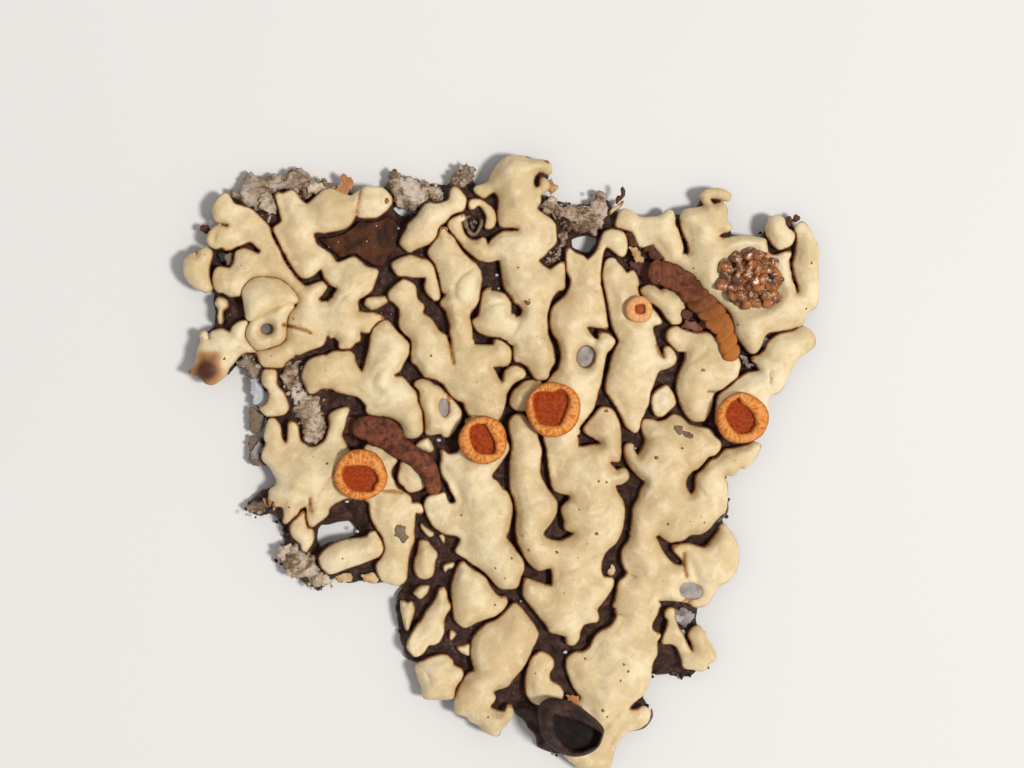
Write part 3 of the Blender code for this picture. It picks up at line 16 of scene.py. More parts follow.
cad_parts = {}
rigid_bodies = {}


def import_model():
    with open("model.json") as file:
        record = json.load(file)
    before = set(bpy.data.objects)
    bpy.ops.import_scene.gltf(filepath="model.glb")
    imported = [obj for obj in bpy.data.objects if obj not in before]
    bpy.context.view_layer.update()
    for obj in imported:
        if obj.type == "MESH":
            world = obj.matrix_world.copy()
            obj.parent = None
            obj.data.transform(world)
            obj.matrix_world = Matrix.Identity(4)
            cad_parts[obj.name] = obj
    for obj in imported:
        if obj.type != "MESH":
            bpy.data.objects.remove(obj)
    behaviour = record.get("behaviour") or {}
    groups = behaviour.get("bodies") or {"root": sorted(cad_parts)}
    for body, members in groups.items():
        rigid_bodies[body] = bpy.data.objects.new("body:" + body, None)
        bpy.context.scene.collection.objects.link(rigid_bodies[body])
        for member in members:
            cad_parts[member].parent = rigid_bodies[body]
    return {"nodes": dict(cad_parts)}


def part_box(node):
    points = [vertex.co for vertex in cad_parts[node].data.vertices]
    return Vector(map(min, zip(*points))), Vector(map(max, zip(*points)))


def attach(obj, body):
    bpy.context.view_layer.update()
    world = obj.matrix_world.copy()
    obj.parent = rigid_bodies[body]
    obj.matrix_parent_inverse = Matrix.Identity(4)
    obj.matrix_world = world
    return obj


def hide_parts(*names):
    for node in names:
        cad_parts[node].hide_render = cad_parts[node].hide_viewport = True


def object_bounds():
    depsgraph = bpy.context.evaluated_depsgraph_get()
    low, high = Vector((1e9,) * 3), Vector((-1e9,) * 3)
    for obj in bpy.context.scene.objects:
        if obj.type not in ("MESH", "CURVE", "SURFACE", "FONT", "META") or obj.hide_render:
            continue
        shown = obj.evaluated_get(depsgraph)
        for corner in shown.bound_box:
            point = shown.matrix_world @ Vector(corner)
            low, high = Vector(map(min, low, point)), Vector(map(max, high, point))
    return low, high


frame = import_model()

bl_info = {
    "name": "Leafy Lichen Looks",
    "version": (1, 0, 0),
    "blender": (4, 5, 0),
    "location": "3D View > Sidebar > Lichen",
    "description": "Builds the visible pieces of a dried leafy lichen round its packed solids",
    "category": "Object",
}

MM = 0.001
DRAWING_SHIFT = np.array((-0.075, 0.25))    # from the drawing's origin to the part's origin
BODY = "root"
CAD_BOX = [np.array(corner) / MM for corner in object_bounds()]
EDGE_MARGIN = np.array((0.02, 0.02, 0.0))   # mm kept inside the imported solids' box

# ---------------------------------------------------------------- heights, in mm
RIM_LEVEL = 1.45           # a lobe's widest level
LOBE_BELLY = 0.62          # lowest point of a lobe's black lower side
SEAT = 1.95                # what cups, shoots and the tuft stand on
SHEET_RIM = 0.3            # border of the black lower sheet
SHEET_TOP = 1.15           # its highest wrinkle
LOBULE_RIM = 1.0
LOBULE_TOP = 0.95          # most that a lobule rises over its rim
BARK_RIM = 0.85
BARK_TOP = 2.15
LEAF_LEVEL = 1.24          # middle of the dry red-brown sheet
INSIDE_LEVEL = 1.5         # inner skin seen through the holes
WHITE_LEVEL = 1.25
CURL_LEVEL = 1.4

# ---------------------------------------------------------------- spacings and reaches, in mm
OUTLINE_SPACING = 0.04     # between the points of a smoothed outline
GROUP_GAP = 0.1            # kept between two edges of one group of lobes
FACING_REACH = 0.45        # how near another edge has to be to hold a lobe back
OUTLINE_WAVE = 0.02        # how far a lobe's outline wanders
JOIN_HALF = 0.25           # half width of the neck where two lobes join
CREASE_HALF = 0.1
CREASE_DEPTH = 0.3
CUP_STAND = 0.27           # share of a cup's width that stands on the lobes
TUFT_STAND = 0.42
SHOOT_STAND = 0.35         # half width of the strip that a shoot stands on
HOLE_REACH = 0.3           # a place farther than this from every lobe point is a gap
CRUMB_LIMIT = (18.9, 18.35)     # crumbs stay within this of the part's middle
CUP_POINTS = 240           # round a cup

# ---------------------------------------------------------------- lobes that run into each other
# piece name, members, and the short lines along which two members join
LOBE_GROUPS = [
    ("far_left", ["far_left"], []),
    ("left_fork", ["left_fork", "upper_left", "left_low"], [((-10.1, 9.5), (-10.1, 7.5)),
        ((-12.5, 6.3), (-12.9, 6.95))]),
    ("left_hood", ["left_hood"], []),
    ("left_pierced", ["left_pierced"], []),
    ("bent", ["bent"], []),
    ("shield", ["shield"], []),
    ("ring", ["ring"], []),
    ("centre", ["long", "centre", "centre_low"], [((-2.85, 6.8), (-1.75, 7.1)), ((-1.9, 2.3),
        (-0.3, 2.3))]),
    ("wing", ["wing"], []),
    ("teardrop", ["teardrop"], []),
    ("top_centre", ["top_centre", "top_wing"], [((0.73, 8.6), (0.73, 7.1))]),
    ("centre_right", ["centre_right", "cup_side", "arc"], [((4.6, 1.7), (2.3, 2.15)), ((2.3, 3.0),
        (2.3, 4.6))]),
    ("right_of_centre", ["right_of_centre"], []),
    ("small_cup", ["small_cup"], []),
    ("islet_right", ["islet_right"], []),
    ("right_mid", ["right_mid"], []),
    ("top_right", ["top_right_a", "top_right_b"], [((11.05, 12.2), (11.05, 11.3))]),
    ("right_knob", ["right_knob"], []),
    ("right_low", ["right_low"], []),
    ("right_lower", ["shoulder", "right_lower", "low_right"], [((7.95, -4.4), (9.3, -4.4)),
        ((6.95, -8.7), (9.45, -8.7))]),
    ("tail", ["tail"], []),
    ("left_column", ["left_column"], []),
    ("lower_left", ["lower_left", "foot"], [((-8.4, -0.6), (-8.4, -1.8))]),
    ("left_tip", ["left_tip"], []),
    ("tongue", ["tongue"], []),
    ("islet_mid", ["islet_mid"], []),
    ("islet_low", ["islet_low"], []),
    ("slant", ["slant"], []),
    ("heart", ["heart"], []),
    ("low_left", ["low_left"], []),
    ("low_middle", ["low_middle"], []),
    ("inner_low", ["inner_low"], []),
]

# lobes that lie over their neighbours: how far they reach over them
OVERLYING = {"lobe_left_hood": 0.15, "lobe_left_pierced": 0.15}

# ---------------------------------------------------------------- small lobules between the lobes
LOBULES = {
    "upper": [(-8.2, 9.5), (-8.1, 9.75), (-7.8, 9.85), (-7.0, 9.9), (-6.8, 9.8), (-6.7, 9.5),
        (-7.1, 9.2), (-7.7, 8.95), (-8.2, 9.25)],
    "by_shoot": [(-5.2, 0.85), (-4.7, 1.3), (-4.3, 1.35), (-4.0, 0.9), (-3.95, 0.6), (-4.2, 0.4),
        (-4.6, 0.5), (-4.9, 0.65)],
    "left_small": [(-16.9, 9.85), (-16.4, 9.65), (-16.3, 9.2), (-16.6, 8.9), (-16.6, 8.4),
        (-16.7, 8.15), (-16.9, 8.15), (-17.0, 8.6), (-16.95, 9.0), (-17.15, 9.4)],
    "low_a": [(-4.8, -3.7), (-4.55, -3.9), (-4.0, -4.3), (-3.95, -4.5), (-4.1, -4.65),
        (-4.4, -4.6), (-4.8, -4.1)],
    "low_b": [(-3.75, -4.5), (-3.5, -4.4), (-3.3, -4.6), (-3.3, -4.9), (-3.4, -5.1),
        (-3.65, -4.7)],
    "low_c": [(-3.45, -6.3), (-3.2, -6.15), (-2.9, -6.1), (-2.7, -6.2), (-2.8, -6.5), (-3.1, -6.6),
        (-3.3, -6.8), (-3.45, -6.6)],
    "low_d": [(-5.2, -7.9), (-4.8, -7.5), (-4.25, -7.5), (-4.25, -7.8), (-4.4, -8.1), (-4.8, -8.4),
        (-5.2, -8.1)],
    "low_e": [(-6.0, -8.5), (-5.8, -8.4), (-5.6, -8.5), (-5.3, -8.45), (-5.15, -8.7), (-5.1, -9.1),
        (-5.35, -9.9), (-5.45, -10.2), (-5.6, -10.3), (-5.75, -10.1), (-5.95, -9.2), (-6.0, -8.8)],
    "low_f": [(-3.1, -10.3), (-2.95, -10.15), (-2.7, -10.3), (-2.6, -10.5), (-2.95, -10.9),
        (-3.1, -10.7)],
    "low_g": [(-2.65, -11.15), (-2.4, -11.1), (-2.0, -11.0), (-1.8, -11.0), (-1.75, -11.4),
        (-1.8, -11.8), (-2.1, -11.75), (-2.4, -11.6), (-2.6, -11.4)],
    "tendril": [(6.5, 14.8), (6.75, 15.15), (7.1, 15.35), (7.35, 15.6), (7.45, 15.5), (7.25, 15.2),
        (6.9, 14.95), (6.6, 14.7)],
}
# plan position and half width of the smallest cream bits
CREAM_BITS = [
    (-10.4, 4.3, 0.14), (-10.6, 3.6, 0.12), (-10.75, 2.8, 0.13), (-12.3, -5.45, 0.15),
    (-10.15, -7.6, 0.1), (-12.9, -5.8, 0.13), (-12.2, -6.6, 0.12), (4.55, -14.3, 0.16),
    (8.9, 8.2, 0.1), (-9.0, -2.3, 0.12), (-14.1, -2.6, 0.14), (-13.6, -2.9, 0.12),
    (-4.4, 15.9, 0.1), (-2.5, 3.0, 0.12),
]

# how much darker than the rest some pieces of bark are
DARK_BARK = {"knob": 1.0, "left_edge": 1.0, "peak": 1.0, "top_left": 0.55, "lower_left": 0.3}

# ---------------------------------------------------------------- creases pressed into the lobes
# strength and line; a strong crease is brown at its bottom, painted shade
CREASES = [
    (1.0, [(-12.95, 8.1), (-12.3, 7.95), (-11.6, 7.75), (-11.3, 7.6)]),
    (0.6, [(-8.35, 16.2), (-8.45, 15.5), (-8.6, 14.8)]),
    (0.9, [(-11.35, -2.3), (-11.4, -2.8), (-11.3, -3.1)]),
    (0.3, [(-9.9, -0.8), (-10.4, -1.4), (-10.9, -2.2)]),
    (0.8, [(-7.0, -1.85), (-6.4, -1.85), (-5.9, -1.95)]),
    (1.0, [(-3.05, 7.4), (-2.95, 6.8), (-2.85, 6.2), (-2.75, 5.8)]),
    (0.7, [(12.45, 4.1), (12.8, 4.1), (13.1, 4.05)]),
    (0.9, [(11.05, -5.6), (11.0, -6.2), (11.2, -7.0)]),
    (0.8, [(9.4, 6.9), (9.5, 6.5), (9.8, 6.2)]),
    (0.5, [(16.15, 5.3), (16.2, 4.9), (16.15, 4.5)]),
    (0.5, [(-2.2, -13.2), (-2.5, -13.6), (-2.65, -14.2)]),
    (0.3, [(-4.9, -12.2), (-4.4, -12.6), (-4.2, -13.2)]),
    (0.4, [(7.5, -6.7), (8.1, -7.0)]),
    (0.4, [(6.85, -9.1), (7.3, -9.3)]),
]

# ---------------------------------------------------------------- scraps of other things
# name: finish, level, outline; a scrap with no level lies on the lobes
SCRAPS = {
    "low_left": ("flake", 1.0, [(-12.9, -6.1), (-12.6, -6.2), (-12.4, -6.5), (-12.15, -7.0),
        (-12.8, -6.6)]),
    "left_lens": ("flake", 1.0, [(-12.0, -6.5), (-11.7, -6.4), (-11.4, -6.6), (-11.7, -6.8)]),
    "left_upper": ("flake", 1.0, [(-15.0, 4.5), (-14.7, 4.95), (-14.4, 4.6), (-14.2, 4.1),
        (-13.75, 3.9), (-13.9, 3.4), (-14.3, 3.2), (-14.7, 3.2), (-14.9, 3.7)]),
    "left_mid": ("grey", 0.9, [(-15.0, 0.7), (-14.6, 1.1), (-14.3, 1.0), (-14.2, 0.6),
        (-14.6, 0.15), (-14.95, 0.2)]),
    "tail": ("grey", 1.3, [(10.3, -9.2), (10.7, -8.95), (11.4, -8.95), (11.6, -9.4), (11.4, -9.9),
        (10.9, -10.0), (10.45, -9.7)]),
    "tail_light": ("flake", 1.4, [(10.4, -9.3), (10.8, -9.15), (11.1, -9.5), (10.9, -9.8),
        (10.5, -9.6)]),
    "tail_low": ("flake", 1.25, [(10.4, -10.0), (10.8, -10.1), (11.2, -10.5), (10.8, -10.6),
        (10.4, -10.4)]),
    "debris_upper": ("grey_brown", 0.8, [(-15.05, 3.0), (-14.6, 3.1), (-14.2, 2.6), (-14.25, 1.9),
        (-14.8, 1.7), (-15.1, 2.3)]),
    "debris_lower": ("grey_brown", 0.7, [(-15.15, 1.25), (-14.7, 1.4), (-14.3, 1.2), (-14.2, 0.2),
        (-14.5, -0.3), (-15.1, 0.0)]),
    "film_left": ("dust", 1.3, [(-13.2, -5.3), (-12.7, -5.1), (-12.2, -5.4), (-12.3, -6.0),
        (-12.8, -6.2), (-13.2, -5.9)]),
    "rag_left": ("dust", 1.1, [(-11.0, -7.0), (-10.5, -6.85), (-10.2, -7.1), (-10.3, -7.5),
        (-10.7, -7.6), (-11.0, -7.35)]),
    "rag_middle": ("tan", 1.15, [(-9.9, -6.9), (-9.4, -6.75), (-8.9, -6.95), (-8.95, -7.35),
        (-9.4, -7.45), (-9.8, -7.3)]),
    "rag_right": ("tan", 1.1, [(-8.4, -6.85), (-7.8, -6.75), (-7.3, -7.0), (-7.4, -7.45),
        (-7.9, -7.4), (-8.2, -7.3)]),
    "film_low": ("dust", 1.2, [(-12.9, -6.4), (-12.3, -6.2), (-11.8, -6.7), (-12.0, -7.1),
        (-12.6, -7.0)]),
    "right_gap": ("grey", 1.3, [(15.65, 7.3), (15.95, 7.45), (16.15, 7.1), (15.95, 6.75),
        (15.75, 6.85)]),
    "right_fork": ("grey", 1.3, [(14.35, 6.25), (14.7, 6.35), (15.0, 5.95), (15.3, 5.65),
        (14.95, 5.55), (14.55, 5.85)]),
    "pale_edge": ("dust", 1.5, [(-14.4, 15.7), (-14.0, 16.1), (-13.6, 15.7), (-13.45, 15.1),
        (-13.8, 14.7), (-14.1, 14.9), (-14.35, 15.3)]),
    "pale_bit": ("dust", 1.5, [(-11.6, 16.3), (-11.3, 16.75), (-10.8, 16.65), (-10.5, 16.2),
        (-10.9, 15.9), (-11.4, 15.95)]),
    "top_dark": ("brown", 1.2, [(-12.8, 17.1), (-12.5, 17.45), (-12.15, 17.2), (-12.4, 16.95)]),
    "left_spur": ("brown", 1.1, [(-18.1, 13.95), (-17.85, 14.15), (-17.4, 13.95), (-17.3, 13.6),
        (-17.8, 13.7)]),
    "by_hole": ("grey_brown", 1.3, [(-16.55, 12.35), (-16.1, 12.4), (-15.95, 12.0), (-16.1, 11.65),
        (-16.4, 11.7)]),
    "sickle": ("grey_brown", 1.7, [(-5.15, 14.3), (-4.85, 14.5), (-4.6, 14.8), (-4.4, 15.15),
        (-4.25, 15.5), (-4.05, 15.3), (-4.15, 14.95), (-4.45, 14.55), (-4.75, 14.25)]),
    "hook": ("brown", 1.6, [(7.0, 15.35), (7.3, 15.6), (7.5, 15.95), (7.4, 16.35), (7.25, 16.35),
        (7.25, 16.0), (7.0, 15.7)]),
    "top_curl": ("brown", 1.5, [(0.45, 17.95), (0.9, 18.2), (1.4, 18.25), (1.7, 18.05),
        (1.2, 18.02), (0.8, 17.85)]),
    "thin_flap": ("tan", 1.2, [(2.9, 16.9), (3.2, 16.8), (3.45, 16.4), (3.3, 16.1), (2.95, 16.0),
        (2.85, 16.4)]),
    "right_dark": ("brown", 1.1, [(16.9, 14.3), (17.2, 14.7), (17.6, 14.55), (17.65, 14.15),
        (17.2, 13.9)]),
    "right_tip": ("brown", 1.2, [(17.6, 14.4), (17.75, 14.75), (18.0, 14.6), (17.85, 14.35)]),
    "amber_leaf": ("tan", 1.75, [(7.75, 12.75), (8.1, 12.7), (8.45, 12.4), (8.65, 12.0),
        (8.35, 11.85), (8.05, 12.0), (7.85, 12.4)]),
    "red_pad": ("red", 1.1, [(12.3, 8.9), (12.8, 9.0), (13.2, 8.7), (13.1, 8.3), (12.6, 8.2),
        (12.3, 8.5)]),
    "shoot_start": ("brown", 1.5, [(7.5, 13.55), (7.9, 13.6), (8.2, 13.2), (8.7, 12.95),
        (9.1, 13.0), (9.6, 12.5), (9.7, 12.1), (9.0, 12.0), (8.6, 12.6), (8.0, 12.9),
        (7.65, 13.1)]),
    "shoot_base": ("brown", 1.4, [(7.7, 11.9), (8.5, 11.9), (9.3, 11.8), (9.3, 11.0), (8.7, 10.5),
        (8.4, 11.0), (8.0, 11.5)]),
    "root_knob": ("brown", 1.8, [(10.9, 9.0), (11.2, 9.15), (11.5, 8.9), (11.5, 8.6), (11.2, 8.4),
        (10.9, 8.6)]),
    "root_patch": ("red", 1.5, [(10.8, 8.1), (11.2, 8.35), (11.8, 8.3), (12.4, 8.5), (12.6, 8.1),
        (12.0, 7.7), (11.3, 7.75)]),
    "tan_leaf": ("tan", 1.1, [(6.7, -6.3), (6.95, -6.45), (6.9, -6.85), (6.6, -6.95),
        (6.5, -6.65)]),
    "cup_margin": ("amber", 1.85, [(4.0, -14.1), (4.45, -14.15), (4.9, -14.6), (5.2, -15.1),
        (4.9, -15.1), (4.4, -14.6)]),
    "shoot_leaf": ("brown", 1.5, [(-9.45, 2.3), (-9.0, 2.55), (-8.5, 2.4), (-8.2, 1.9),
        (-8.5, 1.45), (-9.1, 1.6), (-9.35, 1.9)]),
    "bud_scale": ("amber", 1.4, [(-9.8, 16.2), (-9.7, 16.6), (-9.45, 17.0), (-9.15, 17.15),
        (-8.9, 16.9), (-8.85, 16.5), (-8.95, 16.15), (-9.3, 16.0), (-9.6, 16.0)]),
    "scar": ("grey_brown", None, [(10.45, 2.05), (10.75, 1.98), (11.2, 1.7), (11.5, 1.4),
        (11.3, 1.35), (10.9, 1.55), (10.55, 1.8)]),
    "window": ("grey_brown", None, [(-6.3, -4.0), (-5.9, -3.85), (-5.6, -4.1), (-5.6, -4.6),
        (-5.85, -4.95), (-6.15, -4.7)]),
}
# finish: its two colours, patches per mm, roughness
FINISHES = {
    "flake": ("flake", "flake_shade", 1.5, 0.6),
    "grey": ("flake_shade", "bark_dark", 1.2, 0.6),
    "dust": ("bark_pale", "bark_dark", 1.5, 0.8),
    "brown": ("fringe", "stain", 2.0, 0.5),
    "amber": ("amber", "fringe_light", 1.2, 0.4),
    "red": ("shoot", "stain", 1.5, 0.5),
    "grey_brown": ("worn", "bark_dark", 2.0, 0.6),
    "tan": ("cream_shade", "fringe_light", 1.0, 0.4),
    "inside": ("inside", "inside_shade", 0.9, 0.7),
}
# plan position and half width of the smallest white bits
WHITE_BITS = [
    (-13.0, -5.5, 0.15), (-10.9, -7.0, 0.12), (-11.3, -7.7, 0.14), (-15.2, -3.3, 0.13),
    (-9.2, -2.5, 0.14), (-8.6, -4.3, 0.13), (1.25, -8.5, 0.12), (3.9, -11.55, 0.16),
    (-9.9, 14.6, 0.1), (-6.1, 13.9, 0.1), (-0.2, 11.1, 0.12), (-0.1, 10.3, 0.1), (-3.7, 1.2, 0.13),
    (1.35, -4.4, 0.09), (3.3, -1.5, 0.07), (8.1, 0.7, 0.12), (-8.4, 1.5, 0.08),
]
# dark edges curled up along the torn border: half width and line
CURLS = [
    (0.07, [(15.45, 0.6), (15.2, 0.25), (14.9, -0.1), (14.5, -0.35), (14.0, -0.75), (13.4, -0.9)]),
    (0.06, [(13.6, -2.1), (13.66, -2.6), (13.62, -3.1), (13.3, -3.5), (12.9, -3.8)]),
    (0.07, [(9.1, -14.9), (9.1, -15.4), (8.9, -15.8), (8.5, -16.1), (7.7, -16.25), (7.1, -16.6),
        (6.8, -17.1), (6.6, -17.6)]),
    (0.06, [(12.75, -11.8), (12.4, -12.2), (12.0, -12.5)]),
    (0.05, [(8.7, -13.4), (8.65, -13.9), (8.3, -14.3)]),
    (0.05, [(-0.6, -16.3), (-1.0, -16.1), (-1.5, -15.7), (-2.2, -15.2), (-2.7, -14.9)]),
    (0.12, [(18.8, 12.2), (18.85, 11.8), (18.7, 11.3)]),
    (0.11, [(18.5, 9.5), (18.35, 9.1), (18.2, 8.8)]),
]

# ---------------------------------------------------------------- bark that has no solid of its own
LOOSE_BARK = {
    "left_edge": [(-15.9, 5.9), (-15.4, 6.3), (-14.7, 6.4), (-14.5, 6.0), (-14.2, 5.6),
        (-14.3, 5.0), (-14.8, 5.0), (-15.6, 5.6)],
    "peak": [(-3.0, 16.9), (-2.7, 17.3), (-2.4, 17.7), (-2.0, 17.85), (-1.6, 17.5), (-1.5, 17.1),
        (-2.0, 16.4), (-2.4, 16.3), (-2.8, 16.5)],
    "third": [(-11.4, 16.8), (-10.6, 16.9), (-9.9, 16.6), (-9.6, 16.3), (-10.4, 16.2),
        (-11.3, 15.5)],
    "pocket": [(2.4, 12.0), (2.9, 12.6), (3.4, 12.9), (3.7, 12.7), (3.7, 12.0), (3.2, 11.8),
        (2.7, 11.8)],
    "knob": [(-15.2, -2.9), (-14.9, -2.6), (-14.5, -2.4), (-14.0, -2.3), (-13.9, -2.7),
        (-14.2, -3.0), (-14.5, -3.4)],
}

# ---------------------------------------------------------------- brown spots on the lobes
# plan position and half width
SPOTS = [
    (-12.3, 8.45, 0.09), (2.8, 17.8, 0.17), (1.1, 11.5, 0.08), (0.75, 9.85, 0.08),
    (1.75, 9.6, 0.08), (14.3, 8.1, 0.09), (11.6, 11.5, 0.09), (-9.4, -5.85, 0.08),
    (5.75, -4.35, 0.13), (3.4, -5.5, 0.12), (6.35, -1.3, 0.09), (5.9, -1.25, 0.08),
    (4.75, -2.95, 0.08), (0.7, -5.85, 0.09), (-0.25, -6.4, 0.08), (0.3, -7.0, 0.08),
    (-0.3, -8.65, 0.08), (5.1, -11.9, 0.09), (7.4, -12.2, 0.1), (7.65, -12.6, 0.1),
    (7.2, -13.15, 0.09), (2.15, -12.75, 0.09), (-0.7, -15.35, 0.09), (9.4, 0.15, 0.09),
    (10.9, 0.75, 0.09), (10.05, -3.8, 0.08), (12.2, -3.7, 0.08), (-2.3, -3.3, 0.09),
    (-12.6, -2.8, 0.08), (-11.3, -2.6, 0.08), (-10.3, -0.2, 0.09), (1.4, -4.5, 0.09),
    (1.75, -5.35, 0.09), (18.6, 11.8, 0.1), (18.3, 9.1, 0.1), (-6.8, 15.5, 0.19),
    (-6.3, 15.6, 0.14), (-3.3, 13.8, 0.19), (1.65, 9.5, 0.22), (-4.1, 6.25, 0.1),
    (12.1, 5.35, 0.16), (6.35, 2.9, 0.16), (9.35, 0.15, 0.15), (6.15, -14.95, 0.12),
    (6.4, -15.3, 0.1), (-16.5, 6.1, 0.12),
]
PIT_MIDDLE = (-1.6, 14.15)
# rings of worn skin in the pit: half width, reach, start and end in degrees, level
PIT_RINGS = [(0.09, 0.15, 0, 290, 1.3), (0.13, 0.48, 110, 390, 1.5)]
STAINED_TIP = (-17.6, 5.4, 1.5)        # plan and reach of the dark red-brown stain

# ---------------------------------------------------------------- cups: mouth outlines
MOUTHS = {
    "cup_left": [(-9.41, -0.64), (-9.3, -0.375), (-9.04, -0.3), (-8.62, -0.285), (-8.02, -0.3),
        (-7.72, -0.41), (-7.46, -0.64), (-7.26, -0.98), (-7.24, -1.24), (-7.41, -1.44),
        (-7.52, -1.76), (-7.95, -1.84), (-8.48, -1.82), (-8.89, -1.71), (-9.19, -1.42),
        (-9.38, -1.05)],
    "cup_middle": [(-1.8, 1.8), (-1.72, 2.02), (-1.42, 2.18), (-1.05, 2.19), (-0.82, 2.1),
        (-0.6, 1.72), (-0.38, 1.31), (-0.26, 0.98), (-0.26, 0.52), (-0.38, 0.41), (-0.82, 0.39),
        (-1.28, 0.45), (-1.58, 0.71), (-1.72, 1.05), (-1.82, 1.42)],
    "cup_centre": [(1.95, 3.82), (2.06, 4.01), (2.4, 4.11), (2.85, 4.11), (3.08, 4.09),
        (3.34, 4.16), (3.52, 4.26), (3.75, 4.2), (4.01, 3.98), (4.12, 3.68), (4.09, 3.3),
        (3.94, 2.85), (3.79, 2.48), (3.6, 2.14), (3.22, 2.08), (2.7, 2.1), (2.32, 2.21),
        (2.14, 2.51), (2.02, 2.92), (1.94, 3.38)],
    "cup_right": [(13.42, 2.81), (13.54, 3.19), (13.72, 3.45), (13.91, 3.56), (14.1, 3.71),
        (14.24, 3.75), (14.3, 3.56), (14.42, 3.39), (14.7, 3.22), (14.92, 3.0), (15.11, 2.74),
        (15.22, 2.36), (15.19, 2.06), (14.92, 1.72), (14.55, 1.61), (14.18, 1.61), (13.91, 1.8),
        (13.69, 2.06), (13.54, 2.32), (13.44, 2.59)],
    "cup_small": [(8.08, 9.25), (8.35, 9.32), (8.6, 9.28), (8.66, 9.0), (8.62, 8.8), (8.35, 8.74),
        (8.1, 8.8), (8.05, 9.0)],
}
OLD_CUP_EDGE = [
    (2.3, -14.6), (2.7, -14.2), (3.3, -14.1), (4.4, -14.4), (5.4, -15.1), (6.1, -15.8),
    (6.15, -16.3), (5.8, -17.1), (4.7, -17.6), (3.5, -17.35), (2.6, -16.5), (2.3, -15.4),
]
OLD_CUP_MOUTH = [
    (3.25, -15.1), (3.8, -15.3), (4.6, -15.5), (5.4, -15.85), (5.95, -16.15), (5.95, -16.5),
    (5.6, -16.95), (4.8, -17.25), (4.1, -17.1), (3.5, -16.5), (3.2, -15.8),
]

# ---------------------------------------------------------------- shoots: middle line, half widths
# crease: how dark the painted shade in the folds between the leaves is
SHOOTS = {
    "liverwort_shoot_right": dict(
        line=[(8.9, 11.5), (9.6, 11.25), (10.3, 10.95), (10.9, 10.65), (11.4, 10.2),
              (11.9, 9.6), (12.5, 9.0), (13.0, 8.4), (13.4, 7.8), (13.6, 7.2),
              (13.75, 6.6), (13.9, 5.9)],
        half=[0.62, 0.78, 0.78, 0.78, 0.76, 0.78, 0.8, 0.76, 0.64, 0.6, 0.62, 0.44],
        leaves=11, scallop=0.16, step=0.1, slant=0.35, tip=1.0, crease=0.5),
    "liverwort_shoot_left": dict(
        line=[(-8.8, 2.0), (-8.2, 1.9), (-7.5, 1.8), (-6.8, 1.5), (-6.2, 1.0), (-5.6, 0.5),
              (-5.0, 0.15), (-4.45, -0.3), (-4.1, -0.9), (-4.0, -1.5), (-3.98, -2.05)],
        half=[0.5, 0.72, 0.86, 0.92, 0.76, 0.62, 0.56, 0.6, 0.52, 0.52, 0.42],
        leaves=6, scallop=0.1, step=0.04, slant=-0.3, tip=0.3, crease=0.3),
}

# ---------------------------------------------------------------- beads of the tuft
# plan position and half width
BEADS = [
    (13.5, 11.5, 0.46), (14.9, 12.3, 0.34), (15.4, 12.25, 0.3), (14.15, 12.05, 0.3),
    (15.9, 12.0, 0.3), (16.3, 11.8, 0.32), (14.3, 11.45, 0.3), (15.0, 11.6, 0.32),
    (15.4, 11.4, 0.27), (16.4, 11.2, 0.32), (16.6, 10.8, 0.3), (14.8, 11.1, 0.27),
    (14.2, 10.8, 0.34), (15.2, 10.7, 0.31), (15.8, 10.8, 0.32), (13.3, 10.5, 0.31),
    (13.9, 10.3, 0.28), (14.8, 10.4, 0.27), (15.4, 10.2, 0.33), (16.2, 10.4, 0.34),
    (13.85, 9.8, 0.32), (14.4, 9.8, 0.3), (15.1, 9.8, 0.31), (15.9, 9.8, 0.31), (16.4, 9.8, 0.3),
    (14.7, 9.3, 0.3), (15.3, 9.4, 0.28), (16.0, 9.4, 0.27), (13.6, 10.9, 0.28),
    (15.85, 11.35, 0.27),
]

# where the black crumbs lie thickest: two corners and the chance of a crumb
CRUMB_PLACES = [((-16.0, -10.0), (-9.0, 3.0), 0.55), ((-7.0, -18.0), (12.5, -10.0), 0.22),
                ((-16.5, 3.0), (-13.0, 7.0), 0.2), ((-5.0, 14.0), (4.5, 18.6), 0.2)]
CRUMB_CHANCE = 0.05        # everywhere else

# ---------------------------------------------------------------- camera, light and paper
VIEW_CENTRE = (0.645, 4.81)        # mm, the point that the camera looks straight down at
VIEW_WIDTH = 61.44                 # mm, the width of what it sees
VIEW_LEVEL = 1.5                   # mm, the height at which that width is true
LENS = 100.0
SENSOR = 36.0
PAPER_REACH = 1.2                  # m from the middle to the paper's edge
KEY_PLACE = (0.275, -0.06, 0.53)   # m
KEY_AIM = (0.0, 0.0, 0.001)
KEY_SIZE = 0.1
KEY_POWER = 2.7
KEY_TINT = (1.0, 0.985, 0.955)
ROOM_TINT = (1.0, 0.965, 0.97, 1.0)
ROOM_STRENGTH = 0.42


# ================================================================ plan geometry
def at(x, y):
    """A drawing position in the part's own millimetres."""
    return np.array((x, y), float) + DRAWING_SHIFT


def shifted(points):
    """Drawing positions in the part's own millimetres."""
    return np.asarray(points, float)[:, :2] + DRAWING_SHIFT


def full_turn(count, start=0.0):
    """Even angles once round."""
    return np.linspace(start, start + 2 * math.pi, count, endpoint=False)


def round_loop(middle, reach_x, reach_y, turn):
    """Points round a middle at the given angles."""
    return middle + np.column_stack([reach_x * np.cos(turn), reach_y * np.sin(turn)])


def catmull_rom(before, start, end, after, t):
    """Points from start to end on the smooth curve through all four."""
    return 0.5 * (2 * start + (end - before) * t
                  + (2 * before - 5 * start + 4 * end - after) * t**2
                  + (3 * start - before - 3 * end + after) * t**3)


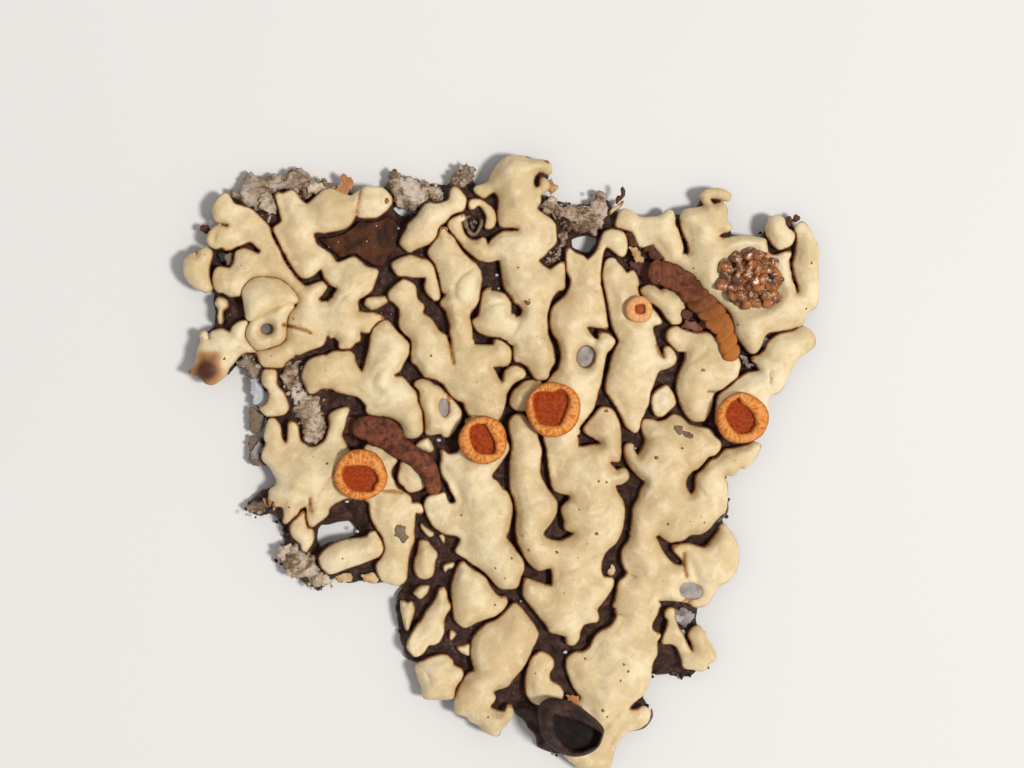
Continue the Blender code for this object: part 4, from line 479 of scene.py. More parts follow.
def smooth_loop(points, spacing):
    """A closed Catmull-Rom curve through the points, sampled at an even spacing."""
    p = np.asarray(points, float)
    before, after, far = np.roll(p, 1, 0), np.roll(p, -1, 0), np.roll(p, -2, 0)
    t = np.linspace(0.0, 1.0, 12, endpoint=False)[None, :, None]
    curve = catmull_rom(before[:, None], p[:, None], after[:, None], far[:, None], t)
    return even_loop(curve.reshape(-1, 2), spacing)


def even_loop(points, spacing):
    """A closed line of points resampled at an even spacing."""
    closed = np.vstack([points, points[:1]])
    length = np.concatenate([[0.0], np.cumsum(np.linalg.norm(np.diff(closed, axis=0), axis=1))])
    count = max(8, int(length[-1] / spacing))
    where = np.linspace(0.0, length[-1], count, endpoint=False)
    return np.column_stack([np.interp(where, length, closed[:, k]) for k in (0, 1)])


def smooth_line(points, count):
    """An open smooth curve through the points with their extra values, evenly sampled."""
    p = np.asarray(points, float)
    ends = np.vstack([2 * p[0] - p[1], p, 2 * p[-1] - p[-2]])
    t = np.linspace(0.0, 1.0, 16, endpoint=False)[None, :, None]
    curve = catmull_rom(ends[:-3, None], ends[1:-2, None], ends[2:-1, None], ends[3:, None], t)
    curve = np.vstack([curve.reshape(-1, p.shape[1]), p[-1:]])
    steps = np.linalg.norm(np.diff(curve[:, :2], axis=0), axis=1)
    length = np.concatenate([[0.0], np.cumsum(steps)])
    where = np.linspace(0.0, length[-1], count)
    return np.column_stack([np.interp(where, length, curve[:, k]) for k in range(p.shape[1])])


def floor_loops(node):
    """The closed outlines of a CAD node's flat underside, in millimetres."""
    mesh = frame["nodes"][node].data
    points = np.array([v.co for v in mesh.vertices], float) / MM
    keys = [tuple(k) for k in np.round(points, 3)]
    low = points[:, 2].min() + 0.001
    used = {}
    for face in mesh.polygons:
        if all(points[i, 2] <= low for i in face.vertices):
            ring = [keys[i] for i in face.vertices]
            for start, end in zip(ring, ring[1:] + ring[:1]):
                if (end, start) in used:
                    del used[(end, start)]
                else:
                    used[(start, end)] = True
    following = {start: end for start, end in used}
    loops = []
    while following:
        start, end = following.popitem()
        loop = [start]
        while end != start:
            loop.append(end)
            end = following.pop(end)
        loops.append(np.array(loop)[:, :2])
    return loops


def smooth_loops(node, spacing):
    """A CAD node's floor outlines as smooth curves, the longest first."""
    loops = [smooth_loop(loop, spacing) for loop in floor_loops(node)]
    return sorted(loops, key=len, reverse=True)


def edges_of(loops):
    """Start and end of every edge of the loops."""
    start = np.vstack(loops)
    end = np.vstack([np.roll(loop, -1, 0) for loop in loops])
    return start, end


def inside_grid(loops, xs, ys):
    """Even-odd fill of the loops on a grid, row by row."""
    start, end = edges_of(loops)
    mask = np.zeros((len(ys), len(xs)), bool)
    for row, y in enumerate(ys):
        hit = (start[:, 1] <= y) != (end[:, 1] <= y)
        a, b = start[hit], end[hit]
        cross = np.sort(a[:, 0] + (y - a[:, 1]) * (b[:, 0] - a[:, 0]) / (b[:, 1] - a[:, 1]))
        mask[row] = np.searchsorted(cross, xs) % 2 == 1
    return mask


def inside_points(loops, points):
    """Which of the points lie inside the loops."""
    start, end = edges_of(loops)
    x, y = points[:, 0:1], points[:, 1:2]
    rise = end[:, 1] - start[:, 1]
    rise = np.where(np.abs(rise) < 1e-12, 1e-12, rise)
    hit = (start[:, 1] <= y) != (end[:, 1] <= y)
    cross = start[:, 0] + (y - start[:, 1]) * (end[:, 0] - start[:, 0]) / rise
    return (hit & (cross > x)).sum(1) % 2 == 1


def segment_distance(x, y, a, b):
    """Distance from every x, y to the straight line from a to b."""
    ab = b - a
    t = np.clip(((x - a[0]) * ab[0] + (y - a[1]) * ab[1]) / max(ab @ ab, 1e-12), 0.0, 1.0)
    return np.hypot(x - a[0] - t * ab[0], y - a[1] - t * ab[1])


def line_distance(x, y, line):
    """Distance from every x, y to a line of straight parts."""
    best = np.full(np.shape(x), 1e9)
    for a, b in zip(line[:-1], line[1:]):
        best = np.minimum(best, segment_distance(x, y, a, b))
    return best


def ease(value, low, high):
    """0 up to low, 1 from high, and a soft rise between."""
    t = np.clip((value - low) / (high - low), 0.0, 1.0)
    return t * t * (3 - 2 * t)


def right_of(loop):
    """The unit way to the right of a closed loop's direction at each of its points."""
    way = np.roll(loop, -1, 0) - np.roll(loop, 1, 0)
    way /= np.maximum(np.linalg.norm(way, axis=1), 1e-9)[:, None]
    return np.column_stack([way[:, 1], -way[:, 0]])


def outward(loop):
    """The unit way out of a closed loop at each of its points, by its own turning."""
    area = np.sum(loop[:, 0] * np.roll(loop[:, 1], -1) - np.roll(loop[:, 0], -1) * loop[:, 1])
    return right_of(loop) * (1.0 if area > 0 else -1.0)


def tree_of(points):
    """A search tree over the plan positions of the points."""
    tree = KDTree(len(points))
    for k, point in enumerate(points):
        tree.insert((point[0], point[1], 0.0), k)
    tree.balance()
    return tree


def closed_up(outlines, group_of, growth, gap_inside, reach):
    """Outlines by name, grown a little without crossing edges that face them within reach.

    Edges of one group of lobes stay gap_inside apart; holes through a lobe stay as they are."""
    flat = [(name, number) for name, loops in outlines.items() for number in range(len(loops))]
    ways = {key: outward(outlines[key[0]][key[1]]) * (1.0 if key[1] == 0 else -1.0)
            for key in flat}
    spots = np.vstack([outlines[name][number] for name, number in flat])
    group = np.concatenate([np.full(len(outlines[name][number]), group_of[name])
                            for name, number in flat])
    facing = np.vstack([ways[key] for key in flat])
    tree = tree_of(spots)
    push = np.full(len(spots), growth)
    for k, (x, y) in enumerate(spots):
        found = tree.find_range((x, y, 0.0), reach)
        others = np.array([index for _, index, _ in found])
        away = np.array([distance for _, _, distance in found])
        across = (spots[others] - spots[k]) @ facing[k]
        met = (across > 0.8 * away) & (away > 0.06) & (facing[others] @ facing[k] < -0.5)
        if met.any():
            left = gap_inside if (group[others[met]] == group[k]).any() else 0.0
            push[k] = min(growth, max((away[met].min() - left) / 2, 0.0))
    moved, first = {name: [] for name in outlines}, 0
    for key in flat:
        loop = outlines[key[0]][key[1]]
        own = push[first:first + len(loop)]
        own = sum(np.roll(own, shift) for shift in range(-3, 4)) / 7
        moved[key[0]].append(loop + ways[key] * own[:, None] if key[1] == 0 else loop)
        first += len(loop)
    return moved


# ================================================================ noise
def grain(x, y, size, seed):
    """Smooth noise from -1 to 1 whose features are about size across."""
    table = np.random.default_rng(seed).uniform(-1.0, 1.0, (64, 64))
    turn = 0.6 + 0.37 * seed
    u = (x * math.cos(turn) - y * math.sin(turn)) / size + 17.3
    v = (x * math.sin(turn) + y * math.cos(turn)) / size + 5.7
    i, j = np.floor(u).astype(int), np.floor(v).astype(int)
    fu, fv = u - i, v - j
    fu, fv = fu * fu * (3 - 2 * fu), fv * fv * (3 - 2 * fv)
    corner = [table[(j + b) % 64, (i + a) % 64] for b in (0, 1) for a in (0, 1)]
    low = corner[0] * (1 - fu) + corner[1] * fu
    high = corner[2] * (1 - fu) + corner[3] * fu
    return low * (1 - fv) + high * fv


def rough(x, y, size, seed, octaves=4, fall=0.55):
    """Several sizes of grain added up, each finer one weaker."""
    total, share = np.zeros(np.shape(x)), 1.0
    for step in range(octaves):
        total = total + share * grain(x, y, size / 2**step, seed + step)
        share *= fall
    return total


def blurred(field, sigma):
    """Gaussian blur of a grid, sigma in cells."""
    reach = int(3 * sigma) + 1
    kernel = np.exp(-0.5 * (np.arange(-reach, reach + 1) / sigma) ** 2)
    kernel /= kernel.sum()
    for axis in (0, 1):
        padded = np.pad(field, [(reach, reach) if k == axis else (0, 0) for k in (0, 1)], "edge")
        field = sum(
            weight * np.take(padded, range(k, k + field.shape[axis]), axis)
            for k, weight in enumerate(kernel))
    return field


# ================================================================ rounded patches
class Patch:
    """A piece of plan area meshed on a grid whose border nodes lie on its outline.

    x, y: plan position of every used node. depth: its distance to the outline.
    swell: 0 at the outline, towards 1 far inside. out_x, out_y: the way to the nearest outline.
    quads: node numbers. rim: True for nodes on the outline.
    """

    def __init__(self, members, bridges=(), cell=0.1, swell_length=0.9, edge_radius=0.45,
                 blur=0.22):
        samples = []
        for number, loops in enumerate(members):
            for loop in loops:
                keep = np.ones(len(loop), bool)
                for other, other_loops in enumerate(members):
                    if other != number:
                        keep &= ~inside_points(other_loops, loop)
                for a, b in bridges:
                    keep &= segment_distance(loop[:, 0], loop[:, 1], a, b) >= JOIN_HALF
                samples.append(loop[keep])
        for number, (a, b) in enumerate(bridges):
            along = (b - a) / np.linalg.norm(b - a)
            side = np.array((-along[1], along[0]))
            turn = np.linspace(0, math.pi, 24)[:, None]
            cap = JOIN_HALF * (np.cos(turn) * side + np.sin(turn) * along)
            ring = even_loop(np.vstack([b + cap, a - cap]), OUTLINE_SPACING)
            keep = np.ones(len(ring), bool)
            for loops in members:
                keep &= ~inside_points(loops, ring)
            for other, (c, d) in enumerate(bridges):
                if other != number:
                    keep &= segment_distance(ring[:, 0], ring[:, 1], c, d) >= JOIN_HALF
            samples.append(ring[keep])
        edge = np.vstack(samples)
        border = 5 * cell
        xs = np.arange(edge[:, 0].min() - border, edge[:, 0].max() + border + cell, cell)
        ys = np.arange(edge[:, 1].min() - border, edge[:, 1].max() + border + cell, cell)
        gx, gy = np.meshgrid(xs, ys)
        inside = np.zeros(gx.shape, bool)
        for loops in members:
            inside |= inside_grid(loops, xs, ys)
        for a, b in bridges:
            inside |= segment_distance(gx, gy, a, b) < JOIN_HALF
        tree = tree_of(edge)
        near = np.array([tree.find((px, py, 0.0))[1] for px, py in zip(gx.flat, gy.flat)])
        near = edge[near].reshape(*gx.shape, 2)
        away_x, away_y = near[..., 0] - gx, near[..., 1] - gy
        distance = np.hypot(away_x, away_y)
        signed = np.where(inside, distance, -distance)
        sharp = np.sign(signed) * (1 - np.exp(-distance / swell_length))
        soft = blurred(sharp, blur / cell)
        share = ease(signed, 0.08, 0.5)
        swell = np.clip(sharp * (1 - share) + soft * share, 0.0, 0.995)
        kept = signed > 0.35 * cell
        cells = kept[:-1, :-1] | kept[1:, :-1] | kept[:-1, 1:] | kept[1:, 1:]
        used = np.zeros(gx.shape, bool)
        for dj in (0, 1):
            for di in (0, 1):
                used[dj:dj + cells.shape[0], di:di + cells.shape[1]] |= cells
        number = np.full(gx.shape, -1)
        number[used] = np.arange(used.sum())
        j, i = np.nonzero(cells)
        self.quads = np.column_stack(
            [number[j, i], number[j, i + 1], number[j + 1, i + 1], number[j + 1, i]])
        self.rim = ~kept[used]
        distance = np.maximum(distance[used], 1e-9)
        self.out_x, self.out_y = away_x[used] / distance, away_y[used] / distance
        # nodes near the outline move outwards, so that the round edge has evenly turned rings
        turned = np.clip(distance / edge_radius, 0.0, 1.0) * math.pi / 2
        moved = np.where(distance < edge_radius, edge_radius * (1 - np.cos(turned)), distance)
        swell = 1 - (1 - swell[used]) ** (moved / distance)
        moved = np.where(self.rim, 0.0, moved)
        shift = np.where(self.rim, distance, distance - moved)
        self.x = gx[used] + self.out_x * shift
        self.y = gy[used] + self.out_y * shift
        self.depth = moved
        self.swell = np.where(self.rim, 0.0, swell)
        facing = np.where(inside[used], 1.0, -1.0)
        self.out_x, self.out_y = self.out_x * facing, self.out_y * facing

    def body(self, top, bottom):
        """Points and faces of the closed body between two heights that meet on the rim."""
        count = len(self.x)
        inner = np.nonzero(~self.rim)[0]
        lower = np.arange(count)
        lower[inner] = count + np.arange(len(inner))
        points = np.vstack([
            np.column_stack([self.x, self.y, top]),
            np.column_stack([self.x[inner], self.y[inner], bottom[inner]])])
        faces = np.vstack([self.quads, lower[self.quads[:, ::-1]]])
        return points, faces, inner


def dome(swell):
    """Height of a round-edged swelling, 0 at the outline and 1 far inside."""
    return np.sqrt(np.clip(swell * (2 - swell), 0.0, 1.0))


# ================================================================ objects and materials
def add_piece(name, points, faces, materials, nodes=(), values=None, face_material=None):
    """A smooth mesh piece that rides on the specimen, from points in millimetres."""
    mesh = bpy.data.meshes.new(name)
    points = np.clip(points, CAD_BOX[0] + EDGE_MARGIN, CAD_BOX[1] - EDGE_MARGIN)
    mesh.from_pydata((points * MM).tolist(), [], [list(map(int, f)) for f in faces])
    mesh.validate()
    for label, numbers in (values or {}).items():
        layer = mesh.attributes.new(label, "FLOAT", "POINT")
        layer.data.foreach_set("value", np.asarray(numbers, np.float32))
    for material in materials:
        mesh.materials.append(material)
    if face_material is not None and len(face_material) == len(mesh.polygons):
        mesh.polygons.foreach_set("material_index", np.asarray(face_material, np.int32))
    mesh.polygons.foreach_set("use_smooth", np.ones(len(mesh.polygons), bool))
    mesh.update()
    piece = bpy.data.objects.new(name, mesh)
    bpy.context.scene.collection.objects.link(piece)
    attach(piece, BODY)
    if nodes:
        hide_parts(*nodes)


class Nodes:
    """Short words for building one material's node tree."""

    def __init__(self, name):
        self.material = bpy.data.materials.new(name)
        self.material.use_nodes = True
        self.tree = self.material.node_tree
        self.shader = self.tree.nodes["Principled BSDF"]
        self.place = self.tree.nodes.new("ShaderNodeTexCoord").outputs["Object"]

    def node(self, kind, inputs=(), **settings):
        made = self.tree.nodes.new(kind)
        for key, value in settings.items():
            setattr(made, key, value)
        for key, value in dict(inputs).items():
            self.feed(made.inputs[key], value)
        return made

    def feed(self, socket, value):
        if isinstance(value, bpy.types.NodeSocket):
            self.tree.links.new(value, socket)
        else:
            socket.default_value = value

    def noise(self, per_mm, detail=3.0, roughness=0.55, distortion=0.0, place=None):
        made = self.node("ShaderNodeTexNoise", {
            "Vector": place or self.place, "Scale": per_mm / MM, "Detail": detail,
            "Roughness": roughness, "Distortion": distortion})
        return made.outputs["Fac"]

    def cells(self, per_mm, feature="F1"):
        made = self.node("ShaderNodeTexVoronoi", {
            "Vector": self.place, "Scale": per_mm / MM}, feature=feature)
        return made.outputs["Distance"]

    def value(self, label):
        return self.node("ShaderNodeAttribute", attribute_name=label).outputs["Fac"]

    def spread(self, value, low, high, new_low=0.0, new_high=1.0):
        made = self.node("ShaderNodeMapRange", {
            "Value": value, "From Min": low, "From Max": high,
            "To Min": new_low, "To Max": new_high}, interpolation_type="SMOOTHSTEP")
        return made.outputs["Result"]

    def maths(self, operation, a, b=0.0):
        made = self.node("ShaderNodeMath", {0: a, 1: b}, operation=operation)
        return made.outputs[0]

    def mix(self, share, a, b):
        made = self.node("ShaderNodeMix", data_type="RGBA")
        self.feed(made.inputs["Factor"], share)
        for label, tint in (("A", a), ("B", b)):
            linked = isinstance(tint, bpy.types.NodeSocket)
            self.feed(made.inputs[label], tint if linked else (*tint, 1.0))
        return made.outputs["Result"]

    def bump(self, height, strength, distance, before=None):
        inputs = {"Height": height, "Strength": strength, "Distance": distance * MM}
        if before is not None:
            inputs["Normal"] = before
        return self.node("ShaderNodeBump", inputs).outputs["Normal"]

    def finish(self, colour, roughness, normal=None, specular=0.5):
        self.feed(self.shader.inputs["Base Color"], colour)
        self.feed(self.shader.inputs["Roughness"], roughness)
        self.shader.inputs["Specular IOR Level"].default_value = specular
        if normal is not None:
            self.feed(self.shader.inputs["Normal"], normal)
        return self.material


def shade(colour, by):
    """A colour made darker or lighter."""
    return tuple(part * by for part in colour)


def get_material(name, make, *inputs):
    """The named material, made on first use."""
    found = bpy.data.materials.get(name)
    return found if found else make(name, *inputs)


def make_cortex(name, colours):
    """Cream upper skin: mottling, an orange-brown to dark fringe that is partly painted shade, a
    stain and tiny specks.
    """
    n = Nodes(name)
    broad = n.noise(0.3, 4.0, 0.62, 0.3)
    middle = n.noise(1.3, 4.0, 0.65, 0.5)
    fine = n.noise(5.5, 4.0, 0.7)
    colour = n.mix(n.spread(broad, 0.38, 0.64), colours.cream, colours.cream_shade)
    colour = n.mix(n.spread(middle, 0.5, 0.68, 0.0, 0.5), colour, colours.cream_light)
    colour = n.mix(n.spread(broad, 0.5, 0.3, 0.0, 0.6), colour, colours.cream_light)
    colour = n.mix(n.spread(middle, 0.5, 0.34, 0.0, 0.35), colour, shade(colours.cream_shade, 0.84))
    colour = n.mix(n.spread(fine, 0.5, 0.75, 0.0, 0.22), colour, shade(colours.cream_shade, 0.74))
    specks = n.spread(n.cells(1.3), 0.05, 0.09, 1.0, 0.0)
    sparse = n.spread(n.noise(0.25, 1.0), 0.5, 0.6)
    colour = n.mix(n.maths("MULTIPLY", specks, n.maths("MULTIPLY", sparse, 0.8)),
                   colour, colours.fringe_light)
    stain = n.value("stain")
    colour = n.mix(n.spread(stain, 0.0, 0.6, 0.0, 0.9), colour, colours.fringe_light)
    colour = n.mix(n.spread(stain, 0.5, 1.0), colour, colours.stain)
    # fringe: the skin's real brown edge, widened as painted shade on the sides that face away from
    # the light
    ragged = n.maths("ADD", n.value("fringe"),
                     n.maths("MULTIPLY", n.maths("SUBTRACT", n.noise(3.2, 3.0), 0.5), 0.7))
    colour = n.mix(n.spread(ragged, 0.1, 0.5, 0.0, 0.9), colour, colours.fringe_light)
    colour = n.mix(n.spread(ragged, 0.55, 1.05), colour, colours.fringe)
    normal = n.bump(n.noise(1.3, 5.0, 0.6, 0.4), 0.5, 0.16)
    normal = n.bump(n.noise(8.0, 4.0, 0.65), 0.4, 0.035, normal)
    rough_value = n.spread(fine, 0.3, 0.7, 0.5, 0.68)
    return n.finish(colour, rough_value, normal, 0.3)


def make_lower(name, colours):
    """Black, glossy, wrinkled lower skin with rare painted glints."""
    n = Nodes(name)
    wide = n.noise(1.8, 5.0, 0.65, 0.5)
    colour = n.mix(n.spread(wide, 0.42, 0.66), colours.black, colours.black_brown)
    # painted glints: rare bright points mixed into the colour
    glint = n.spread(n.cells(4.5), 0.09, 0.13, 1.0, 0.0)
    rare = n.spread(n.noise(1.3, 2.0, 0.6), 0.58, 0.64)
    colour = n.mix(n.maths("MULTIPLY", glint, rare), colour, colours.glint)
    normal = n.bump(n.noise(2.5, 5.0, 0.7, 0.6), 0.9, 0.25)
    normal = n.bump(n.noise(11.0, 3.0, 0.6), 0.7, 0.06, normal)
    gloss = n.spread(n.noise(3.0, 3.0), 0.35, 0.65, 0.3, 0.6)
    return n.finish(colour, gloss, normal, 0.3)


def make_cup(name, colours):
    """Orange rim with pale lines between its cells, a darker outside that is partly painted shade,
    and a red-brown disc.
    """
    n = Nodes(name)
    disc, tile, outer_shade = n.value("disc"), n.value("tile"), n.value("outer")
    mottle = n.noise(3.4, 4.0, 0.7, 0.4)
    rim = n.mix(n.spread(mottle, 0.38, 0.62), colours.rim, colours.rim_deep)
    walls = n.spread(n.cells(2.3, "DISTANCE_TO_EDGE"), 0.02, 0.2, 0.5, 0.0)
    rim = n.mix(walls, rim, colours.rim_pale)
    rim = n.mix(n.maths("MULTIPLY", tile, 0.75), rim, colours.rim_pale)
    # darker outside of the rim: partly a real darker outline, partly painted shade on the outer
    # flank
    rim = n.mix(n.spread(outer_shade, 0.3, 1.0, 0.0, 0.8), rim, colours.rim_outer)
    grains = n.noise(5.5, 3.0, 0.6)
    inner = n.mix(n.spread(grains, 0.35, 0.7), colours.disc, colours.disc_deep)
    dust = n.spread(n.cells(4.0), 0.05, 0.08, 0.5, 0.0)
    inner = n.mix(dust, inner, colours.rim_pale)
    colour = n.mix(n.spread(disc, 0.3, 0.7), rim, inner)
    small = n.value("pale")
    colour = n.mix(n.maths("MULTIPLY", small, n.spread(disc, 0.3, 0.7, 0.75, 0.1)), colour,
                   colours.rim_milky)
    normal = n.bump(n.noise(5.0, 4.0, 0.6), 0.5, 0.06)
    return n.finish(colour, n.spread(grains, 0.3, 0.7, 0.5, 0.7), normal, 0.15)


def make_old_cup(name, colours):
    """Worn black-brown cup, amber in places on its outside."""
    n = Nodes(name)
    worn = n.noise(1.2, 5.0, 0.7)
    colour = n.mix(n.spread(worn, 0.35, 0.75), colours.old_cup, colours.old_cup_worn)
    colour = n.mix(n.spread(n.value("disc"), 0.3, 0.8), colour, shade(colours.old_cup, 0.55))
    amber = n.maths("MULTIPLY", n.value("outer"), n.spread(n.noise(0.9, 2.0), 0.6, 0.68))
    colour = n.mix(n.maths("MULTIPLY", amber, 0.8), colour, colours.rim_outer)
    normal = n.bump(n.noise(3.0, 5.0, 0.7, 0.5), 0.7, 0.15)
    return n.finish(colour, n.spread(worn, 0.3, 0.7, 0.5, 0.75), normal, 0.2)


def make_shoot(name, colours):
    """Purplish brown leaves that turn amber towards the tip, with painted shade in the folds
    between them.
    """
    n = Nodes(name)
    grains = n.noise(1.4, 5.0, 0.7, 0.5)
    colour = n.mix(n.spread(grains, 0.4, 0.62), colours.shoot, colours.shoot_deep)
    colour = n.mix(n.spread(n.value("tip"), 0.1, 0.9), colour, colours.shoot_tip)
    # painted shade in the folds between the leaves and along the shoot's edges
    colour = n.mix(n.spread(n.value("crease"), 0.2, 1.0, 0.0, 0.65), colour,
                   shade(colours.shoot_deep, 0.45))
    dust = n.maths("MULTIPLY", n.spread(n.cells(2.4), 0.05, 0.08, 0.7, 0.0),
                   n.spread(n.noise(0.8, 2.0), 0.5, 0.6))
    colour = n.mix(dust, colour, colours.glint)
    normal = n.bump(n.noise(2.4, 5.0, 0.65), 0.7, 0.14)
    return n.finish(colour, n.spread(grains, 0.3, 0.7, 0.45, 0.65), normal, 0.18)


def make_bead(name, colours):
    """Glossy, translucent brown beads, darker low down as painted shade, with painted highlights in
    patches on their tops.
    """
    n = Nodes(name)
    broad = n.noise(1.2, 4.0, 0.65, 0.4)
    colour = n.mix(n.spread(broad, 0.4, 0.6), colours.bead, shade(colours.bead_deep, 1.4))
    # painted shade: the lower side of every bead is darker
    colour = n.mix(n.spread(n.value("crown"), 0.7, 0.35), colour, colours.bead_deep)
    # painted highlight: pale patches on the beads' tops
    top_highlight = n.maths("MULTIPLY", n.value("crown"), n.spread(n.noise(2.6, 3.0, 0.6), 0.54, 0.66))
    colour = n.mix(n.maths("MULTIPLY", top_highlight, 0.8), colour, colours.bead_pale)
    normal = n.bump(n.noise(3.5, 3.0, 0.6), 0.6, 0.08)
    return n.finish(colour, n.spread(broad, 0.3, 0.7, 0.16, 0.32), normal, 0.6)


def make_bark(name, colours):
    """Weathered grey-tan bark: long fibres, dark pores and pale dust."""
    n = Nodes(name)
    stretch = n.node("ShaderNodeMapping", {"Vector": n.place, "Rotation": (0.0, 0.0, 0.6),
                                           "Scale": (1.0, 4.0, 1.0)}).outputs["Vector"]
    fibres = n.noise(1.1, 6.0, 0.75, 0.8, stretch)
    broad = n.noise(0.75, 5.0, 0.62, 0.8)
    crumbs = n.noise(2.4, 5.0, 0.7, 0.5)
    colour = n.mix(n.spread(broad, 0.4, 0.52), colours.bark_dark, colours.bark)
    colour = n.mix(n.spread(broad, 0.52, 0.6), colour, colours.dust)
    colour = n.mix(n.spread(fibres, 0.48, 0.62, 0.0, 0.6), colour, colours.bark_pale)
    colour = n.mix(n.spread(crumbs, 0.46, 0.36, 0.0, 0.75), colour, shade(colours.bark_dark, 0.7))
    colour = n.mix(n.spread(n.value("dark"), 0.0, 1.0, 0.0, 0.65), colour,
                   shade(colours.bark_dark, 0.6))
    normal = n.bump(fibres, 0.45, 0.2)
    normal = n.bump(crumbs, 0.6, 0.1, normal)
    return n.finish(colour, 0.85, normal, 0.15)


def make_leaf(name, colours):
    """Thin, dark red-brown dry sheet with a few grey crumbs."""
    n = Nodes(name)
    broad = n.noise(0.7, 4.0, 0.65, 0.5)
    colour = n.mix(n.spread(broad, 0.35, 0.65), colours.leaf_dark, colours.leaf)
    crumbs = n.maths("MULTIPLY", n.spread(n.cells(3.0), 0.1, 0.16, 1.0, 0.0),
                     n.spread(n.noise(0.9, 3.0), 0.55, 0.62))
    colour = n.mix(crumbs, colour, colours.bark_pale)
    normal = n.bump(n.noise(1.8, 5.0, 0.65, 0.6), 0.7, 0.2)
    return n.finish(colour, n.spread(n.noise(2.5, 3.0), 0.3, 0.7, 0.5, 0.7), normal, 0.15)


def make_plain(name, colour, second, per_mm, roughness):
    """A mottled finish of two colours for flakes, spots, scales and curled edges."""
    n = Nodes(name)
    broken = n.noise(per_mm, 4.0, 0.65)
    mixed = n.mix(n.spread(broken, 0.35, 0.7), colour, second)
    normal = n.bump(n.noise(per_mm * 2.5, 4.0, 0.6), 0.5, 0.08)
    return n.finish(mixed, roughness, normal, 0.3)


# ================================================================ settings
def distance(title, note, default):
    """A length setting whose default is given in millimetres."""
    return FloatProperty(name=title, description=note, default=default * MM, min=0.0,
                         subtype="DISTANCE", unit="LENGTH", precision=5)


def colour(title, note, default):
    """A colour setting whose default is given as display values from 0 to 255."""
    linear = [((v / 255 + 0.055) / 1.055) ** 2.4 if v > 10 else v / 255 / 12.92 for v in default]
    return FloatVectorProperty(name=title, description=note, default=linear, size=3,
                               min=0.0, max=1.0, subtype="COLOR")


class LichenSizes(bpy.types.PropertyGroup):
    lobe_top: distance("Lobe top", "Height of the widest lobes above the ground", 2.42)
    grid: distance("Grid", "Spacing of the mesh on the lobes", 0.1)
    growth: distance("Growth", "How far the cream lobes reach over their flat outlines", 0.09)
    swell_length: distance("Swelling length", "Distance over which a lobe swells", 0.85)
    # the wide fringe is painted shade on the sides that face away from the light; the narrow one is
    # the skin's brown edge
    fringe_wide: distance("Wide fringe", "Dark edge on the upper left sides", 0.17)
    fringe_narrow: distance("Narrow fringe", "Dark edge on the lower right sides", 0.09)
    rim_depth: distance("Rim depth", "From a cup's rim down to its disc", 0.5)
    rim_tiles: IntProperty(name="Rim cells", description="Cells round a large cup's rim",
                           default=27, min=6, max=60)
    crumb_count: IntProperty(name="Crumbs", description="Black crumbs along the torn edges",
                             default=110, min=0, max=2000)


